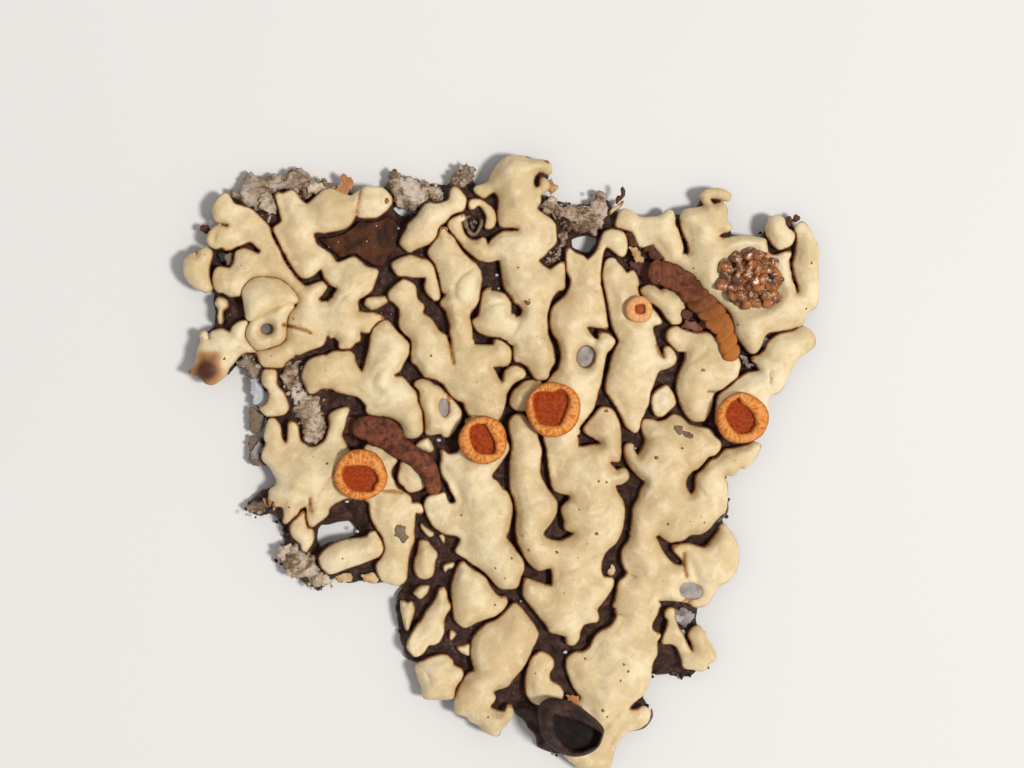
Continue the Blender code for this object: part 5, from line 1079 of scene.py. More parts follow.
class LichenColours(bpy.types.PropertyGroup):
    cream: colour("Cream", "Upper skin", (230, 208, 164))
    cream_shade: colour("Cream shade", "Darker patches of the upper skin", (213, 187, 140))
    cream_light: colour("Cream light", "Paler patches of the upper skin", (241, 226, 190))
    # fringe and fringe_light also colour the lobes' dark edge, which is partly painted shade
    fringe: colour("Fringe", "Dark brown edge of the upper skin", (92, 48, 30))
    fringe_light: colour("Light fringe", "Orange-brown inside of that edge", (172, 116, 62))
    stain: colour("Stain", "Dark red-brown stain", (80, 42, 28))
    black: colour("Black", "Lower skin", (56, 33, 27))
    black_brown: colour("Black brown", "Browner parts of the lower skin", (90, 62, 50))
    # glint: painted glints on the lower skin, pale dust on the shoots
    glint: colour("Glint", "Bright points", (215, 215, 220))
    rim: colour("Cup rim", "Cells of the rim", (222, 134, 48))
    rim_deep: colour("Deep rim", "Darker cells of the rim", (198, 98, 26))
    rim_pale: colour("Pale rim", "Lines between the cells", (236, 176, 108))
    rim_milky: colour("Milky rim", "Rim of the young cup", (240, 198, 142))
    # rim_outer: the orange cups' darker outside, partly painted shade; amber patches on the old cup
    rim_outer: colour("Outer rim", "Outside of a cup", (166, 84, 24))
    disc: colour("Disc", "Inside of a cup", (164, 66, 8))
    disc_deep: colour("Deep disc", "Darker parts of the disc", (130, 42, 6))
    old_cup: colour("Old cup", "Dark old cup", (40, 28, 26))
    old_cup_worn: colour("Worn old cup", "Browner parts of the old cup", (88, 66, 56))
    shoot: colour("Shoot", "Liverwort leaves", (126, 70, 44))
    shoot_deep: colour("Deep shoot", "Darker leaves", (74, 38, 28))
    shoot_tip: colour("Shoot tip", "Amber tip", (184, 110, 46))
    bead: colour("Bead", "Tuft beads", (176, 108, 56))
    # bead_deep: darker brown of the beads, and painted shade on their lower sides
    bead_deep: colour("Deep bead", "Dark hollows of the tuft", (78, 44, 28))
    # bead_pale: painted highlight on the beads' tops
    bead_pale: colour("Pale bead", "Frosted tops of the beads", (222, 190, 156))
    bark: colour("Bark", "Weathered bark", (184, 162, 138))
    bark_dark: colour("Dark bark", "Pores and dark fibres", (116, 88, 66))
    bark_pale: colour("Pale bark", "Pale fibres of the bark", (214, 196, 172))
    dust: colour("Dust", "Dust and pale scraps", (212, 198, 182))
    leaf: colour("Dry leaf", "Dry red-brown sheet", (92, 52, 30))
    leaf_dark: colour("Dark dry leaf", "Darker parts of the sheet", (52, 29, 18))
    flake: colour("Flake", "Bluish-white flakes", (204, 208, 214))
    flake_shade: colour("Flake shade", "Greyer parts of the flakes", (158, 158, 162))
    amber: colour("Amber scrap", "Thin orange-brown scraps", (196, 130, 86))
    worn: colour("Worn skin", "Grey-brown worn skin", (132, 116, 98))
    curl: colour("Curled edge", "Dark edges curled up along the border", (112, 88, 86))
    inside: colour("Inner skin", "Skin seen through the holes", (172, 166, 160))
    inside_shade: colour("Inner skin shade", "Darker parts of it", (120, 112, 106))
    paper: colour("Paper", "The surface that it lies on", (232, 231, 229))


# ================================================================ builders
def node_plan(node):
    """The plan middle and the two half widths of a CAD node, in millimetres."""
    low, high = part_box(node)
    middle = np.array(((low.x + high.x) / 2, (low.y + high.y) / 2)) / MM
    return middle, (high.x - low.x) / MM / 2, (high.y - low.y) / MM / 2


def round_pad(node, share):
    """Distance outside a round pad that takes this share of a node's width."""
    middle, half, _ = node_plan(node)
    return lambda x, y: np.hypot(x - middle[0], y - middle[1]) - 2 * half * share


def standing_pads():
    """Where cups, shoots and the tuft press the lobes down: a distance function for each."""
    pads = [round_pad(node, CUP_STAND) for node in (*MOUTHS, "cup_dark")]
    for shoot in SHOOTS.values():
        middle_line = smooth_line(shifted(shoot["line"]), 24)
        pads.append(lambda x, y, line=middle_line: line_distance(x, y, line) - SHOOT_STAND)
    pads.append(round_pad("liverwort_tuft", TUFT_STAND))
    return pads


def pressed(x, y, top, pads):
    """Tops lowered softly to the seat under whatever stands on them."""
    for pad in pads:
        away = np.maximum(pad(x, y), 0.0)
        top = top - (1 - ease(away, 0.0, 0.9)) * np.maximum(top - SEAT, 0.0)
    return top


def fringe_of(patch, sizes, seed, border):
    """How dark the skin is near the rim: 1 on the rim, 0 beyond the fringe's width.

    The fringe fades where the rim is the border of the whole specimen."""
    wide, narrow = sizes.fringe_wide / MM, sizes.fringe_narrow / MM
    # painted shade: the fringe is wider on the sides that face away from the light, up and to the
    # left
    facing = (-patch.out_x * 0.85 + patch.out_y * 0.53)
    share = ease(facing, -0.55, 0.85) ** 1.3
    share = share * (0.5 + 0.9 * (grain(patch.x, patch.y, 0.9, seed) * 0.5 + 0.5))
    width = narrow + (wide - narrow) * np.clip(share, 0.0, 1.3)
    dark = np.clip(1 - patch.depth / np.maximum(width, 1e-6), 0.0, 1.0)
    away = np.full(len(dark), 9.0)
    for k in np.nonzero(dark > 0)[0]:
        away[k] = border.find((patch.x[k], patch.y[k], 0.0))[2]
    return dark * ease(away, 0.1, 0.55)


def border_tree():
    """A tree of the points along the border of the black lower sheet."""
    return tree_of(smooth_loops("underside", 0.05)[0])


def creased(x, y):
    """How deep the nearest crease is: 0 away from the creases, up to 1 at the strongest."""
    deep = np.zeros(np.shape(x))
    for strength, line in CREASES:
        away = line_distance(x, y, shifted(line))
        deep = np.maximum(deep, strength * np.exp(-(away / CREASE_HALF) ** 2))
    return deep


def add_lobes(sizes, colours):
    """Swollen lobes with a cream upper and a black lower side, one mesh for each group."""
    cortex = get_material("cream_cortex", make_cortex, colours)
    lower = get_material("black_lower_skin", make_lower, colours)
    pads = standing_pads()
    cell = sizes.grid / MM
    outlines = {}
    for _, members, _ in LOBE_GROUPS:
        for member in members:
            outlines["lobe_" + member] = smooth_loops("lobe_" + member, OUTLINE_SPACING)
    group_of = {"lobe_" + member: number for number, (_, members, _) in enumerate(LOBE_GROUPS)
                for member in members}
    outlines = closed_up(outlines, group_of, sizes.growth / MM, GROUP_GAP, FACING_REACH)
    for name, loops in outlines.items():
        for number, loop in enumerate(loops):
            wave = OUTLINE_WAVE * rough(loop[:, 0], loop[:, 1], 0.55, 17, 3)
            wave = wave + (OVERLYING.get(name, 0.0) if number == 0 else 0.0)
            loops[number] = loop + outward(loop) * wave[:, None]
    border = border_tree()
    for seed, (name, members, joins) in enumerate(LOBE_GROUPS):
        nodes = ["lobe_" + member for member in members]
        bridges = [(at(*a), at(*b)) for a, b in joins]
        patch = Patch([outlines[node] for node in nodes], bridges, cell,
                      sizes.swell_length / MM)
        x, y = patch.x, patch.y
        over = 1.0 if nodes[0] in OVERLYING else 0.0
        rim_level = RIM_LEVEL + 0.1 * math.sin(seed * 1.9) + 0.45 * over
        rise = sizes.lobe_top / MM - RIM_LEVEL
        broad = 1 - np.exp(0.5 * np.log(1 - patch.swell))
        top = rim_level + rise * (0.62 * dome(patch.swell) + 0.85 * broad)
        fold = 1 - np.clip(np.abs(grain(x, y, 2.3, 14)) / 0.17, 0.0, 1.0)
        lump = (0.26 * grain(x, y, 4.2, 16) + 0.26 * grain(x, y, 2.0, 11)
                + 0.1 * grain(x, y, 0.9, 12) + 0.02 * grain(x, y, 0.36, 13)
                - 0.16 * fold * ease(grain(x, y, 2.9, 15), -0.1, 0.5))
        crease = creased(x, y)
        top = top + lump * ease(patch.depth, 0.05, 0.5) - CREASE_DEPTH * crease
        top = np.maximum(pressed(x, y, top, pads), rim_level + 0.01)
        top = np.where(patch.rim, rim_level, top)
        bottom = rim_level - (rim_level - LOBE_BELLY) * dome(patch.swell)
        points, faces, inner = patch.body(top, bottom)
        fringe = fringe_of(patch, sizes, 31 + seed, border) * (1 - 0.55 * over)
        # painted shade: the creases' bottoms are browned through the fringe
        fringe = np.maximum(fringe, 0.8 * crease)
        fringe = np.concatenate([fringe, np.ones(len(inner))])
        tip = at(*STAINED_TIP[:2])
        away = np.hypot(points[:, 0] - tip[0], points[:, 1] - tip[1])
        stain = 1 - ease(away + 0.35 * grain(points[:, 0], points[:, 1], 0.7, 5),
                         STAINED_TIP[2] * 0.15, STAINED_TIP[2])
        add_piece("cortex_" + name, points, faces, [cortex, lower], nodes,
                  {"fringe": fringe, "stain": stain}, np.repeat([0, 1], len(patch.quads)))


def add_small_lobes(sizes, colours):
    """Lobules and the smallest cream bits, which have no solid of their own."""
    cortex = get_material("cream_cortex", make_cortex, colours)
    lower = get_material("black_lower_skin", make_lower, colours)
    outlines = {name: shifted(loop) for name, loop in LOBULES.items()}
    for number, (x, y, half) in enumerate(CREAM_BITS):
        turn = full_turn(7) + number
        wave = half * (1 + 0.25 * np.sin(2.0 * turn + number))
        outlines[f"bit_{number}"] = round_loop(at(x, y), wave, wave, turn)
    border = border_tree()
    for seed, (name, loop) in enumerate(outlines.items()):
        patch = Patch([[smooth_loop(loop, OUTLINE_SPACING)]], cell=0.06, swell_length=0.35,
                      edge_radius=0.2, blur=0.1)
        size = min(np.ptp(loop[:, 0]), np.ptp(loop[:, 1]))
        height = min(LOBULE_TOP, 0.45 + 0.6 * size)
        x, y = patch.x, patch.y
        top = LOBULE_RIM + height * dome(patch.swell)
        top = top + 0.03 * grain(x, y, 0.4, 3) * (patch.depth > 0.05)
        top = np.where(patch.rim, LOBULE_RIM, np.maximum(top, LOBULE_RIM + 0.01))
        bottom = LOBULE_RIM - 0.5 * dome(patch.swell)
        points, faces, inner = patch.body(top, bottom)
        fringe = 0.8 * fringe_of(patch, sizes, 71 + seed, border)
        values = {"fringe": np.concatenate([fringe, np.ones(len(inner))]),
                  "stain": np.zeros(len(points))}
        add_piece("lobule_" + name, points, faces, [cortex, lower], (), values,
                  np.repeat([0, 1], len(patch.quads)))


def add_underside(colours):
    """The wrinkled black lower skin, seen between the lobes and from below; its outlines."""
    lower = get_material("black_lower_skin", make_lower, colours)
    loops = [smooth_loop(loop, 0.12) for loop in floor_loops("underside")]
    frayed = []
    for loop in loops:
        push = 0.09 * rough(loop[:, 0], loop[:, 1], 0.5, 91, 3) - 0.05
        frayed.append(loop + right_of(loop) * push[:, None])
    patch = Patch([frayed], cell=0.15, swell_length=0.3, edge_radius=0.2, blur=0.2)
    x, y = patch.x, patch.y
    crumple = rough(x, y, 0.9, 41, 4, 0.6)
    folds = 1 - np.abs(rough(x, y, 1.6, 51, 3))
    top = SHEET_RIM + dome(patch.swell) * (0.24 + 0.2 * crumple + 0.18 * folds)
    top = top + 0.48 * ease(patch.depth, 0.25, 1.0)
    top = np.where(patch.rim, SHEET_RIM, np.clip(top, SHEET_RIM + 0.01, SHEET_TOP))
    pleats = np.abs(rough(x, y, 1.3, 61, 4, 0.6))
    bottom = np.where(patch.rim, SHEET_RIM,
                      np.minimum(0.16 * pleats + (SHEET_RIM - 0.05) * (1 - dome(patch.swell)),
                                 SHEET_RIM - 0.02))
    points, faces, _ = patch.body(top, bottom)
    add_piece("lower_skin", points, faces, [lower], ("underside",))
    return frayed


def ball(count_around, count_up):
    """Unit ball points and faces, its poles along Z."""
    points = [(0.0, 0.0, -1.0)]
    for up in range(1, count_up):
        lift = -math.cos(math.pi * up / count_up)
        out = math.sin(math.pi * up / count_up)
        for k in range(count_around):
            turn = 2 * math.pi * k / count_around
            points.append((out * math.cos(turn), out * math.sin(turn), lift))
    points.append((0.0, 0.0, 1.0))
    faces = [(0, 1 + (k + 1) % count_around, 1 + k) for k in range(count_around)]
    for up in range(count_up - 2):
        low, high = 1 + up * count_around, 1 + (up + 1) * count_around
        for k in range(count_around):
            after = (k + 1) % count_around
            faces.append((low + k, low + after, high + after, high + k))
    last, ring = len(points) - 1, 1 + (count_up - 2) * count_around
    faces += [(ring + k, ring + (k + 1) % count_around, last) for k in range(count_around)]
    return np.array(points), faces


def many_balls(places, around, up, lumpy, seed):
    """One mesh of many lumpy balls: places are x, y, z, half width, half height, turn."""
    unit, faces = ball(around, up)
    points, all_faces, crowns = [], [], []
    rng = np.random.default_rng(seed)
    for x, y, z, half, tall, turn in places:
        phase = rng.uniform(0, 6.28, 6)
        wave = (np.sin(3 * unit[:, 0] + phase[0]) * np.sin(3 * unit[:, 1] + phase[1])
                + 0.6 * np.sin(5 * unit[:, 2] + phase[2]) * np.sin(4 * unit[:, 0] + phase[3]))
        size = 1 + lumpy * wave
        px, py = unit[:, 0] * half * size, unit[:, 1] * half * size * 0.86
        cosine, sine = math.cos(turn), math.sin(turn)
        base = sum(len(p) for p in points)
        points.append(np.column_stack([
            x + px * cosine - py * sine, y + px * sine + py * cosine,
            z + unit[:, 2] * tall * size]))
        crowns.append(unit[:, 2] * 0.5 + 0.5)
        all_faces += [tuple(base + i for i in face) for face in faces]
    return np.vstack(points), all_faces, np.concatenate(crowns)


def add_crumbs(sizes, colours, edges):
    """Black crumbs of lower skin and old holdfasts along the torn edges and in the gaps."""
    lower = get_material("black_lower_skin", make_lower, colours)
    rng = np.random.default_rng(7)
    places = []
    outer = max(edges, key=len)
    for _ in range(sizes.crumb_count * 4):
        x, y = outer[rng.integers(len(outer))]
        chance = CRUMB_CHANCE
        for (x0, y0), (x1, y1), share in CRUMB_PLACES:
            if x0 < x < x1 and y0 < y < y1:
                chance = max(chance, share)
        if rng.uniform() > chance:
            continue
        half = rng.uniform(0.05, 0.17)
        dx, dy = rng.normal(0.0, 0.12, 2)
        level = rng.uniform(0.2, 0.75)
        x = min(max(x + dx, -CRUMB_LIMIT[0]), CRUMB_LIMIT[0])
        y = min(max(y + dy, -CRUMB_LIMIT[1]), CRUMB_LIMIT[1])
        places.append((x, y, max(level, half + 0.02), half, half * rng.uniform(0.6, 0.95),
                       rng.uniform(0, 6.28)))
    points, faces, _ = many_balls(places, 9, 7, 0.35, 8)
    add_piece("edge_crumbs", points, faces, [lower])


def add_spots(colours):
    """Small brown fruit-bodies sunk in the upper skin, set down on the lobes' real surface."""
    dark = get_material("brown_spot", make_plain, colours.fringe_light, colours.fringe, 3.0, 0.6)
    tops = surface_points()
    places = []
    rng = np.random.default_rng(21)
    for x, y, half in SPOTS:
        px, py = at(x, y)
        level = height_at(tops, px, py)
        if level is not None:
            places.append((px, py, level - 0.01, half, 0.035, rng.uniform(0, 3)))
    points, faces, _ = many_balls(places, 12, 8, 0.12, 22)
    add_piece("brown_spots", points, faces, [dark])


def surface_points():
    """A tree of every point on the lobes' upper side, and the points."""
    found = []
    for piece in bpy.context.scene.objects:
        if piece.name.startswith(("cortex_", "lobule_")):
            points = np.array([v.co for v in piece.data.vertices], float) / MM
            found.append(points[points[:, 2] > RIM_LEVEL + 0.05])
    found = np.vstack(found)
    return tree_of(found), found


def height_at(tops, x, y):
    """Height of the lobes' upper side at a plan position, or None over a gap."""
    tree, found = tops
    near = tree.find_n((x, y, 0.0), 4)
    if not near or near[0][2] > HOLE_REACH:
        return None
    return float(np.mean([found[k, 2] for _, k, _ in near]))


def add_cup_mesh(name, outer, mouth, foot_level, crest, depth, tiles, material, seed,
                 crest_lean=0.45):
    """A cup lofted from its foot over a thick crenulate rim to its disc."""
    count = CUP_POINTS
    rng = np.random.default_rng(seed)
    middle = outer.mean(0)
    mouth_middle = mouth.mean(0)

    def around(loop, centre):
        loop = smooth_loop(loop, 0.02)
        angle = np.arctan2(loop[:, 1] - centre[1], loop[:, 0] - centre[0])
        reach = np.hypot(loop[:, 0] - centre[0], loop[:, 1] - centre[1])
        order = np.argsort(angle)
        angle, reach = angle[order], reach[order]
        turn = full_turn(count, -math.pi)
        return turn, np.interp(turn, np.concatenate([angle - 2 * math.pi, angle,
                                                     angle + 2 * math.pi]),
                               np.tile(reach, 3))

    turn, out_reach = around(outer, middle)
    _, in_reach = around(mouth, mouth_middle)
    lines = np.sort(full_turn(tiles, -math.pi) + rng.uniform(
        -0.35, 0.35, tiles) * 2 * math.pi / tiles)
    gap = np.abs(np.angle(np.exp(1j * (turn[:, None] - lines[None, :]))))
    nearest = gap.argmin(1)
    weight = rng.uniform(0.35, 1.0, tiles)[nearest]
    line_shade = weight * np.exp(-(gap.min(1) * 1.35 / 0.055) ** 2)
    cellness = np.clip(gap.min(1) / (math.pi / tiles), 0.0, 1.0)
    scallop = np.sqrt(cellness)
    in_reach = in_reach * (1 - 0.04 * scallop + 0.02)
    out_reach = out_reach * (1 + 0.012 * scallop - 0.006)
    edge_xy = round_loop(middle, out_reach, out_reach, turn)
    mouth_xy = round_loop(mouth_middle, in_reach, in_reach, turn)
    rows, tile_value, disc_value, outer_value = [], [], [], []

    def row(plan, level, tile, disc, out):
        rows.append(np.column_stack([plan, np.broadcast_to(level, (count,))]))
        tile_value.append(np.broadcast_to(tile, (count,)))
        disc_value.append(np.full(count, float(disc)))
        outer_value.append(np.full(count, float(out)))

    flare = crest - foot_level
    for share, up in ((0.3, 0.0), (0.5, 0.02), (0.62, 0.1), (0.74, 0.22), (0.85, 0.36),
                      (0.93, 0.5)):
        row(middle + (edge_xy - middle) * share, foot_level + flare * up, 0.0, 0.0, 1.0)
    steps = 22
    for k in range(steps + 1):
        u = k / steps
        angle = math.pi * u
        plan_share = (1 - math.cos(angle)) / 2
        lift = math.sin(angle) ** 0.75
        low_side = 0.66 if u < 0.5 else 0.66 + 0.1 * (u - 0.5)
        level = foot_level + flare * (low_side + (1 - low_side) * lift)
        level = level - 0.05 * line_shade * lift + 0.02 * scallop * lift
        lean = plan_share ** (1 / (1 + crest_lean))
        plan = edge_xy * (1 - lean) + mouth_xy * lean
        tile = line_shade * (0.4 + 0.6 * lift)
        edge_pale = ease(np.full(count, u), 0.6, 0.9) * (0.35 + 0.65 * (1 - scallop))
        tile = np.clip(np.maximum(tile, edge_pale), 0.0, 1.0)
        # outer: the darker band on the rim's outside, partly painted shade on the orange cups
        row(plan, level, tile, 0.0, max(0.0, 1 - u / 0.34))
    disc_level = crest - depth
    for share, drop in ((0.99, 0.45), (0.97, 0.75), (0.93, 0.93)):
        start = foot_level + flare * 0.71
        level = start + (disc_level - start) * drop
        row(mouth_middle + (mouth_xy - mouth_middle) * share, level, 0.0, 0.6, 0.0)
    for share in np.linspace(0.86, 0.06, 12):
        plan = mouth_middle + (mouth_xy - mouth_middle) * share
        wave = 0.02 * grain(plan[:, 0], plan[:, 1], 0.5, seed) + 0.05 * (1 - share**2)
        row(plan, disc_level + wave, 0.0, 1.0, 0.0)
    points = np.vstack(rows + [[[middle[0], middle[1], foot_level]],
                               [[mouth_middle[0], mouth_middle[1], disc_level + 0.05]]])
    faces = []
    for r in range(len(rows) - 1):
        for k in range(count):
            after = (k + 1) % count
            faces.append((r * count + k, r * count + after,
                          (r + 1) * count + after, (r + 1) * count + k))
    foot, centre = len(rows) * count, len(rows) * count + 1
    last = (len(rows) - 1) * count
    for k in range(count):
        after = (k + 1) % count
        faces.append((foot, after, k))
        faces.append((centre, last + k, last + after))
    values = {"tile": np.concatenate(tile_value + [[0.0, 0.0]]),
              "disc": np.concatenate(disc_value + [[0.0, 1.0]]),
              "outer": np.concatenate(outer_value + [[1.0, 0.0]]),
              "pale": np.full(len(points), 0.6 if name == "cup_small" else 0.0)}
    add_piece(name + "_looks", points, faces, [material], (name,), values)


def add_cups(sizes, colours):
    """Five orange cups on the boxes of their solids, and the dark old cup."""
    material = get_material("orange_cup", make_cup, colours)
    old = get_material("dark_old_cup", make_old_cup, colours)
    for seed, (name, mouth) in enumerate(MOUTHS.items()):
        low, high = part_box(name)
        middle, half_x, half_y = node_plan(name)
        turn = full_turn(40)
        wave = 0.985 - 0.018 * np.sin(3 * turn + seed * 1.7) - 0.012 * np.sin(5 * turn + seed)
        outer = round_loop(middle, half_x * wave, half_y * wave, turn)
        small = name == "cup_small"
        tiles = sizes.rim_tiles // 2 if small else sizes.rim_tiles + seed % 3
        depth = sizes.rim_depth / MM * (0.6 if small else 1.0)
        add_cup_mesh(name, outer, shifted(mouth), low.z / MM, high.z / MM - 0.02, depth,
                     tiles, material, 101 + seed)
    low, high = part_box("cup_dark")
    add_cup_mesh("cup_dark", shifted(OLD_CUP_EDGE), shifted(OLD_CUP_MOUTH), low.z / MM,
                 high.z / MM - 0.06, 0.95, 9, old, 131, 0.8)


def add_shoots(colours):
    """Flattened leafy shoots: overlapping leaves with scalloped edges."""
    material = get_material("liverwort_leaves", make_shoot, colours)
    for seed, (name, shoot) in enumerate(SHOOTS.items()):
        count, across = 190, 30
        low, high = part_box(name)
        plan = np.column_stack([shifted(shoot["line"]), shoot["half"]])
        line = smooth_line(plan, count)
        way = np.gradient(line[:, :2], axis=0)
        way /= np.linalg.norm(way, axis=1)[:, None]
        side = np.column_stack([-way[:, 1], way[:, 0]])
        s = np.linspace(0.0, 1.0, count)[:, None]
        t = np.linspace(-1.0, 1.0, across)[None, :]
        wander = 0.12 * grain(s * 9, t, 1.0, seed + 3)
        phase = s * shoot["leaves"] + shoot["slant"] * t * np.sign(np.sin(s * 9)) + wander
        frac = phase - np.floor(phase)
        bulge = np.sin(np.pi * frac) ** 0.5
        ends = np.minimum(1.0, np.minimum(s / 0.04, (1 - s) / 0.05))
        ends = np.sqrt(np.clip(ends * (2 - ends), 0.0, 1.0))
        torn = 0.07 * rough(s * 12 + 3 * np.sign(t), t * 0.0, 0.9, seed + 40, 3)
        half = line[:, 2:3] * (1 + torn - shoot["scallop"] * (1 - bulge)) * ends
        half = np.maximum(half, 0.005)
        arch = np.sqrt(np.clip(1 - np.abs(t) ** 2.6, 0.0, 1.0))
        height = (high.z - low.z) / MM
        middle = low.z / MM + 0.22
        rise = (height - 0.24 - shoot["step"]) * arch * (0.82 + 0.18 * bulge)
        top = middle + ends * (rise + shoot["step"] * frac * arch
                               + 0.03 * grain(s * 14, t * 1.5, 0.6, seed))
        bottom = middle - 0.2 * arch * ends
        x = line[:, 0:1] + side[:, 0:1] * half * t
        y = line[:, 1:2] + side[:, 1:2] * half * t
        upper = np.column_stack([x.ravel(), y.ravel(), top.ravel()])
        lower = np.column_stack([x.ravel(), y.ravel(), bottom.ravel()])
        points = np.vstack([upper, lower])
        total = count * across
        faces = []
        for i in range(count - 1):
            for j in range(across - 1):
                a, b = i * across + j, i * across + j + 1
                c, d = (i + 1) * across + j + 1, (i + 1) * across + j
                faces.append((a, d, c, b))
                faces.append((total + a, total + b, total + c, total + d))
            for j in (0, across - 1):
                a, d = i * across + j, (i + 1) * across + j
                quad = (a, total + a, total + d, d)
                faces.append(quad if j == 0 else quad[::-1])
        for i in (0, count - 1):
            for j in range(across - 1):
                a, b = i * across + j, i * across + j + 1
                quad = (a, b, total + b, total + a)
                faces.append(quad if i == 0 else quad[::-1])
        # where the painted shade falls: the folds between the leaves and the shoot's edges
        crease = np.exp(-(np.minimum(frac, 1 - frac) / 0.12) ** 2) * np.ones_like(t)
        crease = np.clip(shoot["crease"] * crease + np.abs(t) ** 8, 0.0, 1.0)
        tip = np.broadcast_to(s ** 1.6 * shoot["tip"] + 0.12 * np.abs(t) ** 3, crease.shape)
        values = {"crease": np.tile(crease.ravel(), 2), "tip": np.tile(tip.ravel(), 2)}
        add_piece(name + "_looks", points, faces, [material], (name,), values)


def add_tuft(colours):
    """A mound of glossy beads over a cushion, darkened low down by painted shade."""
    material = get_material("tuft_beads", make_bead, colours)
    low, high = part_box("liverwort_tuft")
    rng = np.random.default_rng(51)
    places = []
    middle = node_plan("liverwort_tuft")[0]
    for x, y, half in BEADS:
        px, py = at(x, y)
        away = math.hypot(px - middle[0], py - middle[1]) / 2.0
        level = low.z / MM + 0.22 + 0.25 * max(0.0, 1 - away**2) + rng.uniform(-0.05, 0.08)
        places.append((px, py, level, half * rng.uniform(1.15, 1.45), half * 1.05,
                       rng.uniform(0, 6.28)))
    for _ in range(46):
        turn, out = rng.uniform(0, 6.28), rng.uniform(0.2, 1.75)
        half = rng.uniform(0.12, 0.2)
        places.append((middle[0] + out * math.cos(turn), middle[1] + out * math.sin(turn) * 0.95,
                       low.z / MM + 0.12, half, half * 0.8, rng.uniform(0, 6.28)))
    places.append((middle[0], middle[1], low.z / MM + 0.16, 1.75, 0.3, 0.4))
    points, faces, crown = many_balls(places, 18, 12, 0.16, 52)
    add_piece("tuft_beads_looks", points, faces, [material], ("liverwort_tuft",),
              {"crown": crown})


def add_dry_leaf(colours):
    """The thin red-brown sheet, softly folded."""
    material = get_material("dry_red_leaf", make_leaf, colours)
    patch = Patch([smooth_loops("liverwort_sheet", OUTLINE_SPACING)], cell=0.08,
                  swell_length=0.12, edge_radius=0.08, blur=0.1)
    level = LEAF_LEVEL + 0.14 * rough(patch.x, patch.y, 1.5, 81)
    top = level + 0.05 * dome(patch.swell)
    bottom = level - 0.05 * dome(patch.swell)
    points, faces, _ = patch.body(top, bottom)
    add_piece("dry_leaf_looks", points, faces, [material], ("liverwort_sheet",))


def frayed_loop(loop, amount, size, seed):
    """A smoothed outline whose edge wanders in and out."""
    loop = smooth_loop(loop, 0.06)
    push = amount * rough(loop[:, 0], loop[:, 1], size, seed, 4, 0.7)
    return loop + right_of(loop) * push[:, None]


def add_bark(colours):
    """Scraps of weathered bark: layered, pitted and frayed at the edges."""
    material = get_material("weathered_bark", make_bark, colours)
    scraps = {}
    for node in sorted(frame["nodes"]):
        if node.startswith("bark_"):
            scraps[node] = (floor_loops(node)[0], (node,), 1.0)
    for name, loop in LOOSE_BARK.items():
        scraps["bark_loose_" + name] = (shifted(loop), (), 0.75)
    rng = np.random.default_rng(61)
    for seed, (name, (loop, nodes, tall)) in enumerate(scraps.items()):
        edge = frayed_loop(loop, 0.16, 0.5, 141 + seed)
        patch = Patch([[edge]], cell=0.08, swell_length=0.3, edge_radius=0.16, blur=0.12)
        x, y = patch.x, patch.y
        layers = rough(x, y, 1.4, 151 + seed, 4, 0.5)
        strands = np.abs(grain(x * 0.4 + y * 0.25, y * 1.3 - x * 0.6, 0.6, 161 + seed))
        relief = 0.6 + 0.28 * layers - 0.22 * strands + 0.12 * grain(x, y, 0.24, 9)
        top = BARK_RIM + dome(patch.swell) * tall * relief
        top = np.where(patch.rim, BARK_RIM, np.clip(top, BARK_RIM + 0.02, BARK_TOP))
        bottom = BARK_RIM - dome(patch.swell) * (0.5 + 0.1 * grain(x, y, 0.5, 19))
        points, faces, _ = patch.body(top, bottom)
        dark = next((share for part, share in DARK_BARK.items() if name.endswith(part)), 0.0)
        dark = dark * 0.7 + 0.3 * ease(grain(points[:, 0], points[:, 1], 1.2, 77), 0.2, 0.8)
        add_piece(name + "_looks", points, faces, [material], nodes, {"dark": dark})
    places = []
    for loop, _, tall in scraps.values():
        middle = loop.mean(0)
        for _ in range(int(10 + 5 * np.ptp(loop[:, 0]))):
            a, b = rng.uniform(0, 1, 2)
            corner = loop[rng.integers(len(loop))]
            spot = middle + (corner - middle) * (0.35 + 0.68 * a)
            half = 0.06 + 0.15 * b**2
            level = 0.95 + 0.45 * tall * rng.uniform(0.3, 1.1) * (1 - 0.4 * a)
            places.append((spot[0], spot[1], level, half, half * 0.75, rng.uniform(0, 6.28)))
    points, faces, _ = many_balls(places, 8, 6, 0.3, 62)
    dark = np.repeat(rng.uniform(0, 0.8, len(places)) ** 2, len(points) // len(places))
    add_piece("bark_crumbs", points, faces, [material], (), {"dark": dark})


